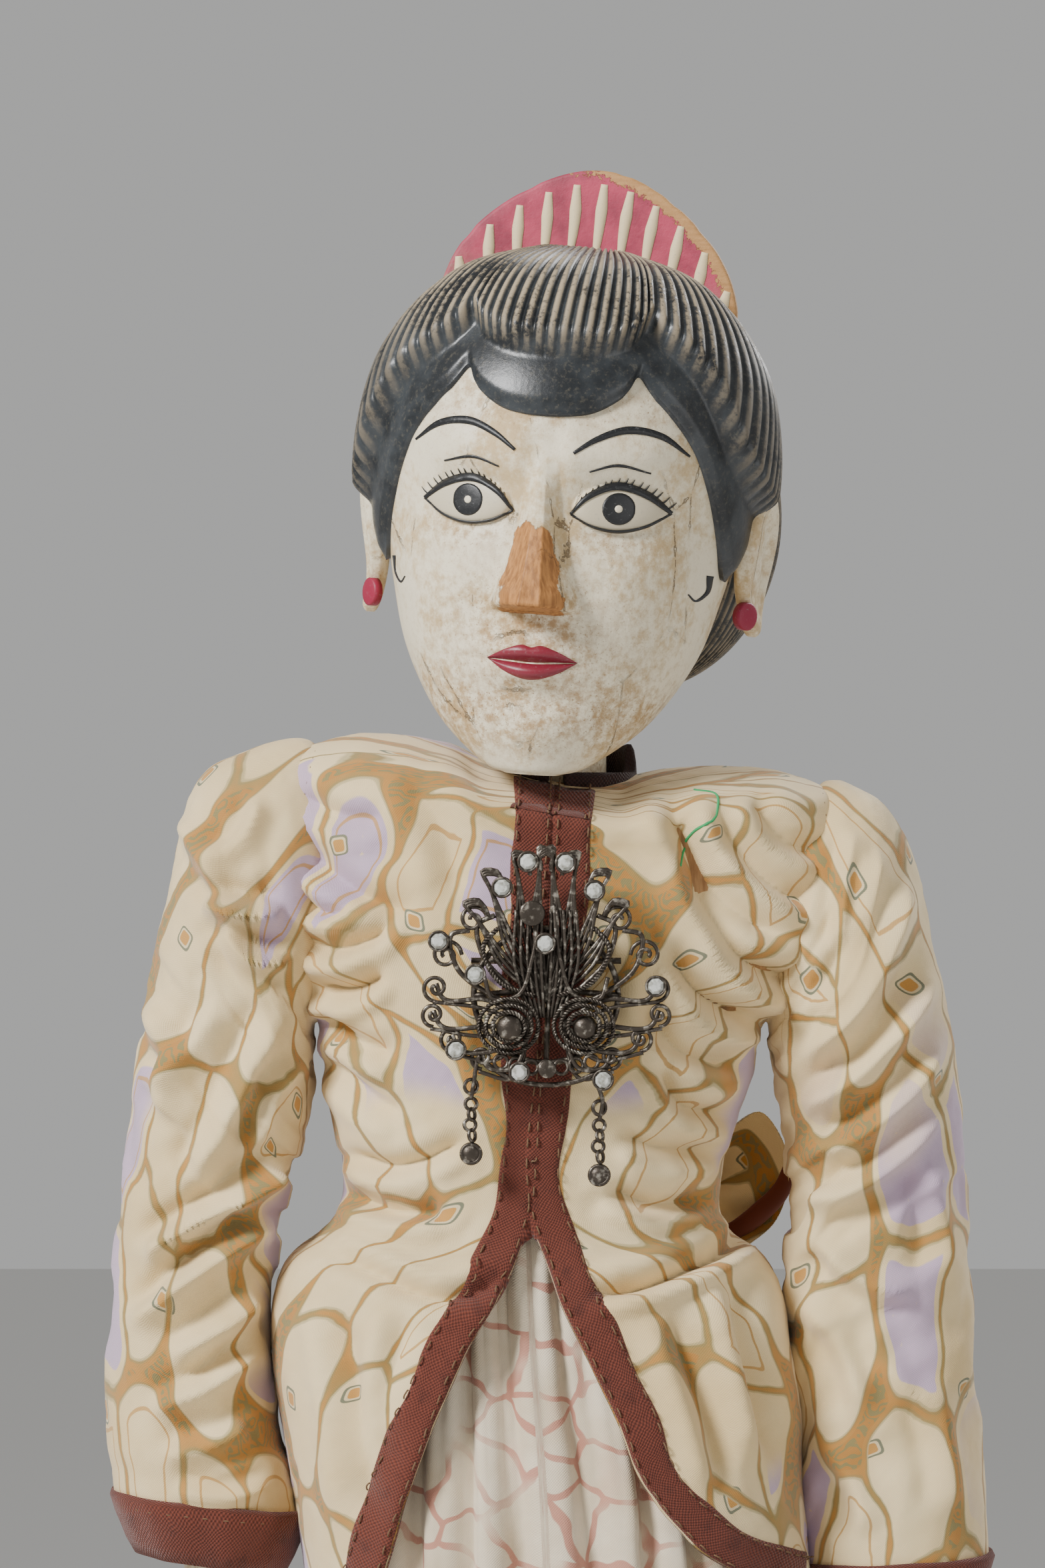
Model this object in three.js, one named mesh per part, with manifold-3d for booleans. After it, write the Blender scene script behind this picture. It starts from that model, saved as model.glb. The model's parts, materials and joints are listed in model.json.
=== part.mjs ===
// Wayang golek rod puppet of a court lady: a carved head on a rod, a loose wooden torso,
// arms jointed with cord, a cotton jacket with a bound front edge over a wrapped skirt.
// Millimetres, +Z up, the puppet faces -Y, so its own left is +X.
// The origin is the middle of the flat butt of the main rod.
import * as THREE from 'three';
import { mergeVertices } from 'three/addons/utils/BufferGeometryUtils.js';
import Module from 'manifold-3d';

const wasm = await Module();
wasm.setup();

// Driving dimensions
const GAP = 0.35; // clearance between pieces that touch
const WAIST_Z = 433;
const HIP_Z = 416; // lowest point of the wooden torso
const HEM_Z = 100; // skirt hem
const PEPLUM_Z = 354; // jacket hem
const SPLIT_Z = 438; // where the bound front edges part
const WAIST_X = -4.6;
const LEAN = Math.tan(THREE.MathUtils.degToRad(3.5)); // the torso leans on its rod
const WALL = 1.6; // cloth thickness with its lining and air
const WOOD_INSET = 2.4; // jacket surface to the wood under it

const ROD = { butt: 6, grip: 8, shank: 5, shoulder: 411, top: 548 };
const BORE_RADIUS = 5.8;
const LIFT = 5; // how far the torso rides up the shank
const NECK = { radius: 11, bottom: 512.5, socketRadius: 12.6 };

const HEAD = { chin: 527, yaw: -7, tilt: 4, nod: 3 };
const COMB_ROLL = 4; // the comb sits askew in the hair, degrees
const COMB = { halfWidth: 29.5, height: 32, thickness: 3, back: 15, base: 80, tenon: 14 };

const ARM = { splay: 9, upper: 70, fore: 112, knot: 3.4, tip: 4.2 };
const SHOULDER = { left: [54, 504.5], right: [-54, 511] };
const HAND_TIE_DROP = 4; // below the finger tips
const HAND_ROD = { length: 288, radius: 1.6 };
const ARMHOLE_FACE = 47.5; // the torso block's flat side, where the shoulder cord goes in
const CORD_RADIUS = 1.8;
const TIE_RADIUS = 1.9;
const CUFF = { drop: 64.5, height: 11 };

const BROOCH = { z: 484, x: -0.6, halfWidth: 22, halfHeight: 26, thickness: 1.8, front: -34 };
const STONE_RADIUS = 2.1;

const RING_SIDES = 28;
const SQUARENESS = 2.4; // exponent of the torso's rounded cross-section

// Finishes
const finish = (color, roughness, metalness = 0) =>
  new THREE.MeshStandardMaterial({ color, roughness, metalness });
const PAINTED_WOOD = finish(0xd8cdb5, 0.55);
const CRIMSON_WOOD = finish(0xb2475a, 0.6);
const BARE_WOOD = finish(0xa9793f, 0.7);
const BAMBOO = finish(0xb98e54, 0.5);
const COTTON = finish(0xe3d2ae, 0.9);
const BINDING = finish(0x6b2e1f, 0.95);
const DARK_BAND = finish(0x2b1612, 0.95);
const SKIRT_CLOTH = finish(0xd9c8ae, 0.9);
const CORD = finish(0x8c7350, 0.9);
const DARK_SILVER = finish(0x4a443e, 0.4, 0.9);
const PASTE_STONE = finish(0xdfe4e0, 0.1);
const LEATHER = finish(0x5b3a22, 0.7);

// Solids

/** The signed volume of a closed triangle mesh; negative when its faces point in. */
function signedVolume(geometry) {
  const at = geometry.attributes.position;
  const corner = [new THREE.Vector3(), new THREE.Vector3(), new THREE.Vector3()];
  let volume = 0;
  for (let i = 0; i < geometry.index.count; i += 3) {
    corner.forEach((point, k) => point.fromBufferAttribute(at, geometry.index.getX(i + k)));
    volume += corner[0].dot(corner[1].clone().cross(corner[2])) / 6;
  }
  return volume;
}

/** Any closed three.js geometry as a solid whose faces point out. */
function solid(geometry) {
  let bare = geometry.clone();
  bare.deleteAttribute('normal');
  bare.deleteAttribute('uv');
  bare = mergeVertices(bare, 1e-4);
  const kept = [];
  const inward = signedVolume(bare) < 0;
  for (let i = 0; i < bare.index.count; i += 3) {
    const [a, b, c] = [0, 1, 2].map((k) => bare.index.getX(i + k));
    if (a !== b && b !== c && c !== a) kept.push(...(inward ? [a, c, b] : [a, b, c]));
  }
  return new wasm.Manifold(new wasm.Mesh({
    numProp: 3,
    vertProperties: new Float32Array(bare.attributes.position.array),
    triVerts: new Uint32Array(kept),
  }));
}

/** A solid back as a geometry that a mesh can hold. */
function geometryOf(body) {
  const mesh = body.getMesh();
  const geometry = new THREE.BufferGeometry();
  geometry.setAttribute('position', new THREE.BufferAttribute(mesh.vertProperties, mesh.numProp));
  geometry.setIndex(new THREE.BufferAttribute(mesh.triVerts, 1));
  geometry.computeVertexNormals();
  return geometry;
}

/** Joins a stack of equal rings, lowest first, and closes both ends. */
function loft(rings) {
  const sides = rings[0].length;
  const centre = (ring) => ring.reduce((sum, p) => sum.add(p), new THREE.Vector3())
    .divideScalar(sides);
  const points = [...rings.flat(), centre(rings[0]), centre(rings.at(-1))];
  const [bottom, top] = [points.length - 2, points.length - 1];
  const last = (rings.length - 1) * sides;
  const index = [];
  for (let j = 0; j < sides; j += 1) {
    const next = (j + 1) % sides;
    for (let i = 0; i < last; i += sides) {
      index.push(i + j, i + next, i + sides + next, i + j, i + sides + next, i + sides + j);
    }
    index.push(bottom, next, j, top, last + j, last + next);
  }
  const geometry = new THREE.BufferGeometry().setFromPoints(points);
  geometry.setIndex(index);
  return solid(geometry);
}

/** A rounded-rectangle ring; slope tips it down towards +X. */
function ring({ z, a, b, x = 0, y = 0, slope = 0, power = 2 }, grow = 0, sides = RING_SIDES) {
  const round = (value) => Math.sign(value) * Math.abs(value) ** (2 / power);
  return Array.from({ length: sides }, (_, i) => {
    const angle = (2 * Math.PI * i) / sides;
    const dx = round(Math.cos(angle)) * (a + grow);
    return new THREE.Vector3(x + dx, y + round(Math.sin(angle)) * (b + grow), z - dx * slope);
  });
}

/** A stack of rings as one solid, grown by a margin, from the lowest level up. */
const body = (levels, grow = 0, sides = RING_SIDES) =>
  loft(levels.map((level) => ring(level, grow, sides)));

/** A lathe solid about Z from points of radius and height. */
function turned(profile, sides = 16) {
  const points = profile.map(([radius, height]) => new THREE.Vector2(radius, height));
  return solid(new THREE.LatheGeometry(points, sides).rotateX(Math.PI / 2));
}

/** A flat outline in X and Z, thickened along Y from front to back. */
function board(points, front, back, curveSegments = 8) {
  const shape = new THREE.Shape(points.map(([x, z]) => new THREE.Vector2(x, z)));
  const geometry = new THREE.ExtrudeGeometry(shape, {
    depth: back - front, bevelEnabled: false, curveSegments,
  });
  return solid(geometry.rotateX(Math.PI / 2).translate(0, back, 0));
}

const block = (low, high) => solid(new THREE.BoxGeometry(
  ...high.map((value, i) => value - low[i]),
).translate(...low.map((value, i) => (value + high[i]) / 2)));

const ball = (radius, [x, y, z], sides = 12) =>
  solid(new THREE.SphereGeometry(radius, sides, sides / 2).translate(x, y, z));

/** A round bar along X. */
const crossBar = (radius, low, high, [y, z], sides = 12) => solid(
  new THREE.CylinderGeometry(radius, radius, high - low, sides)
    .rotateZ(Math.PI / 2).translate((low + high) / 2, y, z),
);

const puppet = new THREE.Group();

function add(name, shape, material) {
  const mesh = new THREE.Mesh(geometryOf(shape), material);
  mesh.name = name;
  puppet.add(mesh);
}

// Torso and jacket: one set of levels, leaning from the waist up

const leaning = (level) => ({
  x: WAIST_X + (level.z - WAIST_Z) * LEAN,
  slope: LEAN * THREE.MathUtils.smoothstep(level.z, WAIST_Z, WAIST_Z + 50),
  power: SQUARENESS,
  ...level,
});

const WAIST = leaning({ z: WAIST_Z, a: 38.5, b: 24 });
const BODICE = [
  WAIST,
  leaning({ z: 450, a: 40, b: 25.5 }),
  leaning({ z: 470, a: 42.5, b: 27 }),
  leaning({ z: 482, a: 44, b: 27 }),
  leaning({ z: 497, a: 46, b: 25 }),
  leaning({ z: 511, a: 46, b: 22.5 }),
  leaning({ z: 520, a: 42, b: 19 }),
  leaning({ z: 524.5, a: 34, b: 16 }),
  leaning({ z: 525, a: 25, b: 15 }),
  leaning({ z: 522, a: 18, b: 14.8 }),
];
const PEPLUM = [
  { z: PEPLUM_Z, a: 46, b: 41, x: 0, power: SQUARENESS },
  { z: 390, a: 46, b: 39, x: -1, power: SQUARENESS },
  { z: 413, a: 45.5, b: 35, x: -2.6, power: SQUARENESS },
  leaning({ z: 425, a: 42.5, b: 29 }),
];
const JACKET = [...PEPLUM, ...BODICE];
const TORSO = [
  leaning({ z: HIP_Z, a: 33.5, b: 19 }),
  leaning({ z: 429, a: 33.8, b: 19.5 }),
  ...BODICE.slice(1, 5).map((level) => ({
    ...level, a: level.a - WOOD_INSET, b: level.b - WOOD_INSET,
  })),
  leaning({ z: 506, a: 44, b: 19 }),
  leaning({ z: 514, a: 39, b: 15.5 }),
  leaning({ z: 517, a: 31, b: 12.5 }),
];

/** A tall upright cylinder about the rod's axis. */
const onAxis = (radius, low, high, sides = 24) =>
  turned([[0, low], [radius, low], [radius, high], [0, high]], sides);

function torsoBlock() {
  return body(TORSO)
    .subtract(onAxis(BORE_RADIUS, HIP_Z - 10, 530))
    .subtract(onAxis(NECK.socketRadius, NECK.bottom - LIFT - 1, 530));
}

/** The jacket's outer form less its inner form, open at neck and hem. */
function jacketShell() {
  const inner = JACKET.map((level) => ({ ...level }));
  inner[0].z -= 2;
  inner.push({ ...inner.at(-1), z: inner.at(-1).z + 3 });
  return body(JACKET).subtract(body(inner, -WALL));
}

/** Half of the bound front opening: a strip that parts from its twin below SPLIT_Z. */
const EDGE = {
  left: { neck: [1.6, 528], split: [-3.9, SPLIT_Z], bend: [8, 405], hem: [46, 366] },
  right: { neck: [1.2, 528], split: [-4.3, SPLIT_Z], bend: [-16, 405], hem: [-34, 362] },
};
const STRIP_WIDTH = 8;
const outward = { left: 1, right: -1 };

/** The front edge's centreline on one side, from neck to hem. */
const edgeLine = (side) => ['neck', 'split', 'bend', 'hem'].map((key) => EDGE[side][key]);

/** The edge's line moved outward in X, more where it runs aslant. */
function movedEdge(side, distance) {
  const slant = [1, 1, 1.35, 1.35];
  return edgeLine(side).map(([x, z], i) => [x + outward[side] * distance * slant[i], z]);
}

const FAR = 80;

/** The region outside the front edge, on the front of the body. */
function frontRegion(side) {
  const line = movedEdge(side, 0.6);
  const x = outward[side] * FAR;
  return board([...line, [line.at(-1)[0], PEPLUM_Z - 6], [x, PEPLUM_Z - 6], [x, 540], [line[0][0], 540]],
    -FAR, -GAP / 2);
}

function armholes(margin = 0) {
  const holes = Object.values(SHOULDER).map(([x, z]) => {
    const [low, high] = x > 0 ? [38, 60] : [-60, -38];
    return crossBar(13 + margin, low, high, [0, z - 3], 20);
  });
  return holes[0].add(holes[1]);
}

function jacketPanels() {
  const shell = jacketShell().subtract(armholes());
  const back = block([-FAR, GAP / 2, PEPLUM_Z - 6], [FAR, FAR, 540]);
  add('jacket_back', shell.intersect(back), COTTON);
  for (const side of ['left', 'right']) {
    add(`jacket_front_${side}`, shell.intersect(frontRegion(side)), COTTON);
  }
}

function frontBindings() {
  const layer = body(JACKET, 1.7).subtract(body(JACKET, GAP));
  for (const side of ['left', 'right']) {
    const inner = movedEdge(side, 0.2);
    const outer = movedEdge(side, STRIP_WIDTH).reverse();
    const strip = board([...inner, ...outer], -FAR, 0);
    const clear = block([-FAR, -FAR, PEPLUM_Z - 5], [FAR, 0, 519]);
    add(`front_binding_${side}`, layer.intersect(strip).intersect(clear), BINDING);
  }
}

/** A stand collar inside the neckline, higher at the nape. */
function neckBand() {
  const { x } = BODICE.at(-1);
  const at = (z) => ({ z, a: 15.2, b: 12.9, x, slope: LEAN });
  const band = body([at(522), at(528)]).subtract(body([at(521), at(529)], -1.1));
  const tipBack = new THREE.Matrix4().makeShear(0, 0, 0, 0.3, 0, 0);
  add('neck_band', band.transform(tipBack.toArray()), DARK_BAND);
}

const SKIRT = [
  { z: HEM_Z, a: 50, b: 43, power: SQUARENESS },
  { z: 250, a: 47, b: 40, x: -0.5, power: SQUARENESS },
  { z: 354, a: 42.5, b: 36.5, x: -0.5, power: SQUARENESS },
  { z: 390, a: 41, b: 34, x: -1.8, power: SQUARENESS },
  leaning({ z: 411, a: 38, b: 27 }),
  leaning({ z: 417, a: 35.8, b: 21.6 }),
  leaning({ z: 427, a: 35.8, b: 21.6 }),
];

function skirt() {
  const inner = SKIRT.map((level) => ({ ...level }));
  inner[0].z -= 2;
  inner.at(-1).z += 2;
  add('skirt', body(SKIRT).subtract(body(inner, -WALL)), SKIRT_CLOTH);
  const tie = (z) => leaning({ z, a: 37.5, b: 23.3 });
  const tieInner = (z) => leaning({ z, a: 36.2, b: 22 });
  add('waist_tie',
    body([tie(419), tie(424)]).subtract(body([tieInner(418), tieInner(425)])), CORD);
}

// Rod and head

function mainRod() {
  const { butt, grip, shank, shoulder, top } = ROD;
  return turned([
    [0, 0], [butt, 0], [grip, 30], [grip, shoulder - 12], [grip + 1, shoulder],
    [shank, shoulder], [shank, 520], [shank - 0.6, top - 2], [shank - 1.5, top], [0, top],
  ], 20);
}

function rodWasher() {
  const { shank, shoulder } = ROD;
  const [low, high] = [shoulder + GAP, HIP_Z - GAP];
  return turned([
    [shank + 0.5, low], [12, low], [12.5, (low + high) / 2], [12, high], [shank + 0.5, high],
    [shank + 0.5, low],
  ], 20);
}

/** From the head's own upright frame, chin at z = 0, to its place on the rod. */
const headPlace = new THREE.Matrix4().makeTranslation(0, 0, HEAD.chin)
  .multiply(new THREE.Matrix4().makeRotationY(THREE.MathUtils.degToRad(HEAD.tilt)))
  .multiply(new THREE.Matrix4().makeRotationZ(THREE.MathUtils.degToRad(HEAD.yaw)))
  .multiply(new THREE.Matrix4().makeRotationX(THREE.MathUtils.degToRad(HEAD.nod)));

const onRod = (shape) => shape.transform(headPlace.toArray());

const SKULL = [
  { z: 0, a: 7, b: 6, y: -24 },
  { z: 3, a: 13, b: 11, y: -20 },
  { z: 10, a: 20, b: 21, y: -12 },
  { z: 20, a: 27, b: 29, y: -6 },
  { z: 32, a: 31.5, b: 34, y: -1.5 },
  { z: 44, a: 34.5, b: 36.5, y: 0 },
  { z: 56, a: 37.5, b: 37, y: 0 },
  { z: 68, a: 38.5, b: 36.5, y: 0.5 },
  { z: 78, a: 36, b: 34, y: 1 },
  { z: 86, a: 31, b: 29.5, y: 2 },
  { z: 92, a: 23, b: 22, y: 3 },
  { z: 96.5, a: 9, b: 9, y: 4 },
];

/** An upright egg-shaped lump. */
const lump = ([x, y, z], [rx, ry, rz], sides = 20) => solid(
  new THREE.SphereGeometry(1, sides, sides / 2).scale(rx, ry, rz).translate(x, y, z),
);

const NOSE = [
  { z: 26, a: 6, b: 8, y: -38 }, { z: 29, a: 5, b: 7.4, y: -38 }, { z: 52, a: 2, b: 3, y: -35 },
];

/** The comb's outline: straight flanks on the hair, a round fan with a low peak. */
function combOutline(grow) {
  const { halfWidth, height, base } = COMB;
  const outline = [];
  const steps = 20;
  for (let i = 0; i <= steps; i += 1) {
    const angle = (Math.PI * i) / steps;
    const peak = 0.9 + 0.1 * Math.sin(angle) ** 6;
    outline.push([
      (halfWidth + grow) * Math.cos(angle),
      base + (height + grow) * Math.sin(angle) ** 0.85 * peak,
    ]);
  }
  const foot = base - COMB.tenon - grow;
  return [...outline, [-halfWidth - grow, foot], [halfWidth + grow, foot]];
}

/** The comb board, rolled about its middle. */
function comb(grow) {
  const { back, thickness, base } = COMB;
  const roll = new THREE.Matrix4().makeTranslation(0, 0, base)
    .multiply(new THREE.Matrix4().makeRotationY(THREE.MathUtils.degToRad(COMB_ROLL)))
    .multiply(new THREE.Matrix4().makeTranslation(0, 0, -base));
  return board(combOutline(grow), back - grow, back + thickness + grow).transform(roll.toArray());
}

function headBlock() {
  let head = body(SKULL).add(body(NOSE, 0, 8)).add(lump([4, 27, 46], [34, 17, 33]));
  for (const x of [-36, 36]) {
    head = head.add(lump([x, 4, 38], [3.2, 6.5, 13], 12));
  }
  const neck = onAxis(NECK.radius, NECK.bottom, HEAD.chin + 40);
  return onRod(head.subtract(comb(GAP))).add(neck).subtract(onAxis(ROD.shank + 0.3, 500, ROD.top + 0.5, 20));
}

// Arms

/** An upright form whose levels are measured down from a pivot, then swung about it. */
function hanging(levels, pivot, splay = 0, sides = 16) {
  const rings = levels.map(({ drop, a, b = a, x = 0 }) => ring({ z: -drop, a, b, x }, 0, sides));
  const place = new THREE.Matrix4().makeTranslation(...pivot)
    .multiply(new THREE.Matrix4().makeRotationY(splay));
  return loft(rings.reverse()).transform(place.toArray());
}

function upperArm(pivot, splay) {
  const { tip, upper } = ARM;
  const forms = [[0, 2.2], [5, 4.6], [12, 6.6], [26, 7.2], [upper - 21, 6.4],
    [upper - 15, 5.4], [upper - tip * 2, 2.2]];
  return hanging(forms.map(([drop, a]) => ({ drop: drop + tip, a })), pivot, splay);
}

function forearm(pivot) {
  const { tip, fore } = ARM;
  return hanging([
    { drop: tip, a: 2.2 }, { drop: tip + 5, a: 4.6 }, { drop: tip + 12, a: 6.2 },
    { drop: 40, a: 5.8 }, { drop: 66, a: 4.6 }, { drop: 76, a: 4, b: 4.6 },
    { drop: 84, a: 3.2, b: 6.6 }, { drop: 94, a: 3.2, b: 7.6 }, { drop: 104, a: 2.6, b: 6.4 },
    { drop: fore, a: 1.6, b: 3.4 },
  ], pivot);
}

const SLEEVE_HEAD = [
  { drop: -17, a: 6, b: 7, x: 1 }, { drop: -12.5, a: 13, b: 14.5, x: 1.5 },
  { drop: -3, a: 16, b: 18.5, x: 3 }, { drop: 12, a: 17.5, b: 19.5, x: 5 },
  { drop: 38, a: 17, b: 18.5, x: 9 }, { drop: 68.8, a: 16.6, b: 17, x: 11.8 },
];
const SLEEVE_END = [
  { drop: 69.3, a: 16.6, b: 17, x: 11.8 }, { drop: 100, a: 17.2, b: 17.5, x: 13 },
  { drop: ARM.upper + CUFF.drop, a: 16.8, b: 16.8, x: 12.6 },
];

/** A cloth tube round the arm; a domed one is closed at its top. */
function sleeve(levels, out, pivot, domed) {
  const place = (list) => list.map((level) => ({ ...level, x: level.x * out }));
  const inner = levels.map((level) => ({ ...level, a: level.a - WALL, b: level.b - WALL }));
  inner.at(-1).drop += 1;
  inner[0].drop += domed ? WALL : -1;
  return hanging(place(levels), pivot, 0, 28).subtract(hanging(place(inner), pivot, 0, 28));
}

function arm(side) {
  const out = outward[side];
  const [x, z] = SHOULDER[side];
  const shoulder = [x, 0, z];
  const splay = -out * THREE.MathUtils.degToRad(ARM.splay);
  const elbow = [x - ARM.upper * Math.sin(splay), 0, z - ARM.upper * Math.cos(splay)];
  const tie = [elbow[0], 0, elbow[2] - ARM.fore - HAND_TIE_DROP];

  const faceX = out * ARMHOLE_FACE;
  const loop = crossBar(CORD_RADIUS, Math.min(faceX, x), Math.max(faceX, x), [0, z]);
  add(`shoulder_cord_${side}`, loop.add(ball(ARM.knot, shoulder)), CORD);
  add(`upper_arm_${side}`, upperArm(shoulder, splay), PAINTED_WOOD);
  add(`elbow_cord_${side}`, ball(ARM.knot, elbow), CORD);
  add(`forearm_${side}`, forearm(elbow), PAINTED_WOOD);
  add(`sleeve_upper_${side}`,
    sleeve(SLEEVE_HEAD, out, shoulder, true).subtract(body(JACKET, GAP)), COTTON);
  add(`sleeve_lower_${side}`, sleeve(SLEEVE_END, out, shoulder, false), COTTON);
  const cuffTop = SLEEVE_END.at(-1);
  const cuff = [
    { ...cuffTop, drop: cuffTop.drop + 0.4 },
    { ...cuffTop, drop: cuffTop.drop + CUFF.height, a: 14.5, b: 14.5 },
  ];
  add(`cuff_${side}`, sleeve(cuff, out, shoulder, false), BINDING);
  add(`hand_tie_${side}`, ball(TIE_RADIUS, tie, 10), CORD);
  const { length, radius } = HAND_ROD;
  add(`hand_rod_${side}`, hanging([
    { drop: 2.7, a: 0.9 }, { drop: 9, a: radius }, { drop: length - 3, a: radius * 1.1 },
    { drop: length, a: radius * 0.7 },
  ], tie, 0, 12), BAMBOO);
}

// Brooch

const STONES = 11;

/** The brooch's scalloped edge: one lobe to each outer stone. */
function broochOutline() {
  const steps = STONES * 4;
  return Array.from({ length: steps }, (_, i) => {
    const angle = (2 * Math.PI * i) / steps;
    const scallop = 1 + 0.07 * Math.cos(angle * STONES);
    return [
      BROOCH.x + BROOCH.halfWidth * scallop * Math.sin(angle),
      BROOCH.z + BROOCH.halfHeight * scallop * Math.cos(angle),
    ];
  });
}

function brooch() {
  const { x, z, halfWidth, halfHeight, thickness, front } = BROOCH;
  add('brooch_frame', board(broochOutline(), front, front + thickness), DARK_SILVER);
  const pinY = front + thickness + 1;
  add('brooch_pin', crossBar(0.6, x - 14, x + 14, [pinY, z + 4]), DARK_SILVER);
  for (let i = 0; i < STONES; i += 1) {
    const angle = (2 * Math.PI * i) / STONES;
    const stone = turned([[0, 0], [STONE_RADIUS, 0], [STONE_RADIUS, 0.8], [1.3, 1.6], [0, 1.6]], 12);
    const place = new THREE.Matrix4()
      .makeTranslation(
        x + halfWidth * 0.84 * Math.sin(angle), front - GAP, z + halfHeight * 0.86 * Math.cos(angle),
      )
      .multiply(new THREE.Matrix4().makeRotationX(Math.PI / 2));
    add(`brooch_stone_${i + 1}`, stone.transform(place.toArray()), PASTE_STONE);
  }
}

/** Three wire rings linked in a row under the brooch, with a collet at the end. */
const DROPS = { left: [9.3, 458.5], right: [-14.6, 462.5] }; // tops of the chains
const LINK = { radius: 1.3, wire: 0.45, count: 3 };
const COLLET = { radius: 1.9, depth: 1.4 };

function drop(side) {
  const [x, z] = DROPS[side];
  const y = BROOCH.front + BROOCH.thickness / 2;
  let chain = null;
  const pitch = LINK.radius * 2 - LINK.wire * 0.6;
  for (let i = 0; i < LINK.count; i += 1) {
    const ringSolid = solid(new THREE.TorusGeometry(LINK.radius, LINK.wire, 6, 12)
      .rotateX(Math.PI / 2).translate(x, y, z - LINK.radius - LINK.wire - i * pitch));
    chain = chain ? chain.add(ringSolid) : ringSolid;
  }
  add(`drop_chain_${side}`, chain, DARK_SILVER);
  const chainLength = 2 * (LINK.radius + LINK.wire) + (LINK.count - 1) * pitch;
  const end = z - chainLength - GAP - COLLET.radius;
  add(`drop_stone_${side}`, solid(new THREE.CylinderGeometry(COLLET.radius, COLLET.radius, COLLET.depth, 12)
    .translate(x, y, end)), DARK_SILVER);
}

add('main_rod', mainRod(), BARE_WOOD);
add('rod_washer', rodWasher(), LEATHER);
add('torso_block', torsoBlock(), BARE_WOOD);
add('head_block', headBlock(), PAINTED_WOOD);
add('crown_comb', onRod(comb(0)), CRIMSON_WOOD);
skirt();
jacketPanels();
frontBindings();
neckBand();
for (const side of ['left', 'right']) {
  arm(side);
  drop(side);
}
brooch();

export default puppet;
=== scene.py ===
import json
import math

import bpy
import numpy as np
from mathutils import Matrix, Vector
from mathutils.bvhtree import BVHTree


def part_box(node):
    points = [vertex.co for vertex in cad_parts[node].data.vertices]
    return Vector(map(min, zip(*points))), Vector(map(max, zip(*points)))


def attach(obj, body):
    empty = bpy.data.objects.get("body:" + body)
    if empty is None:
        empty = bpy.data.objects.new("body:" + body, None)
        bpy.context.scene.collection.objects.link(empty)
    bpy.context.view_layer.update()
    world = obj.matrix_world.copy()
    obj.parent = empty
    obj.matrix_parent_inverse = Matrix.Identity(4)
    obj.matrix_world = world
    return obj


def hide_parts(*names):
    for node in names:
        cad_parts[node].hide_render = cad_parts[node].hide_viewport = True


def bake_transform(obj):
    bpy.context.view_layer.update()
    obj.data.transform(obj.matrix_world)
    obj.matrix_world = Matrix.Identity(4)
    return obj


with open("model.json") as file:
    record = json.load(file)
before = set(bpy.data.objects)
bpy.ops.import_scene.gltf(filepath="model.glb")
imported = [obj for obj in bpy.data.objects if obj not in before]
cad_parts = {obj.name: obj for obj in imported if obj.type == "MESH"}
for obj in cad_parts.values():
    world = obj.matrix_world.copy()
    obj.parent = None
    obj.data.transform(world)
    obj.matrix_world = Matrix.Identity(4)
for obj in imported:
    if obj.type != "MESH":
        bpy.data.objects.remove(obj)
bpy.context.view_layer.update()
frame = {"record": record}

# Lengths in this script are millimetres in the frame's own axes until mesh() scales them.
MM = 0.001
SIDES = {"left": 1, "right": -1}  # the puppet's own left is +X


def node_box(name):
    """A node's lowest and highest corners, in millimetres."""
    low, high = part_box(name)
    return np.array(low) / MM, np.array(high) / MM


JOINT = {j["name"]: j for j in frame["record"]["behaviour"]["joints"]}


def pivot(name):
    return np.array(JOINT[name]["pos_m"]) / MM


# ---------------------------------------------------------------- numbers and noise


def smoothstep(low, high, x):
    t = np.clip((np.asarray(x, float) - low) / (high - low), 0, 1)
    return t * t * (3 - 2 * t)


def bump(x, centre, width):
    return np.exp(-(((np.asarray(x, float) - centre) / width) ** 2))


def curve(xs, ys, x):
    """A smooth cubic through (xs, ys), sampled at x."""
    xs, ys, x = np.asarray(xs, float), np.asarray(ys, float), np.asarray(x, float)
    slope = np.gradient(ys, xs, axis=0)
    i = np.clip(np.searchsorted(xs, x, side="right") - 1, 0, len(xs) - 2)
    h = xs[i + 1] - xs[i]
    t = np.clip((x - xs[i]) / h, 0, 1)
    h = h.reshape(h.shape + (1,) * (ys.ndim - 1))
    t = t.reshape(h.shape)
    return (
        ys[i] * (1 + 2 * t) * (1 - t) ** 2
        + slope[i] * h * t * (1 - t) ** 2
        + ys[i + 1] * t * t * (3 - 2 * t)
        - slope[i + 1] * h * t * t * (1 - t)
    )


def through(points, count):
    """A smooth line through 3-D or 2-D points."""
    points = np.asarray(points, float)
    steps = np.linalg.norm(np.diff(points, axis=0), axis=1)
    along = np.concatenate([[0], np.cumsum(np.maximum(steps, 1e-6))])
    return curve(along, points, np.linspace(0, along[-1], count))


LATTICE = np.random.RandomState(7).rand(32, 32, 32)


def noise(points, size):
    """Smooth value noise from -1 to 1 at points of shape (..., 3); size is one cell."""
    p = np.asarray(points, float) / size
    low = np.floor(p).astype(int)
    f = p - low
    f = f * f * (3 - 2 * f)
    total = 0
    for dx in (0, 1):
        for dy in (0, 1):
            for dz in (0, 1):
                corner = LATTICE[
                    (low[..., 0] + dx) % 32, (low[..., 1] + dy) % 32, (low[..., 2] + dz) % 32
                ]
                weight = (
                    np.where(dx, f[..., 0], 1 - f[..., 0])
                    * np.where(dy, f[..., 1], 1 - f[..., 1])
                    * np.where(dz, f[..., 2], 1 - f[..., 2])
                )
                total = total + corner * weight
    return total * 2 - 1


# ---------------------------------------------------------------- meshes


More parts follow.
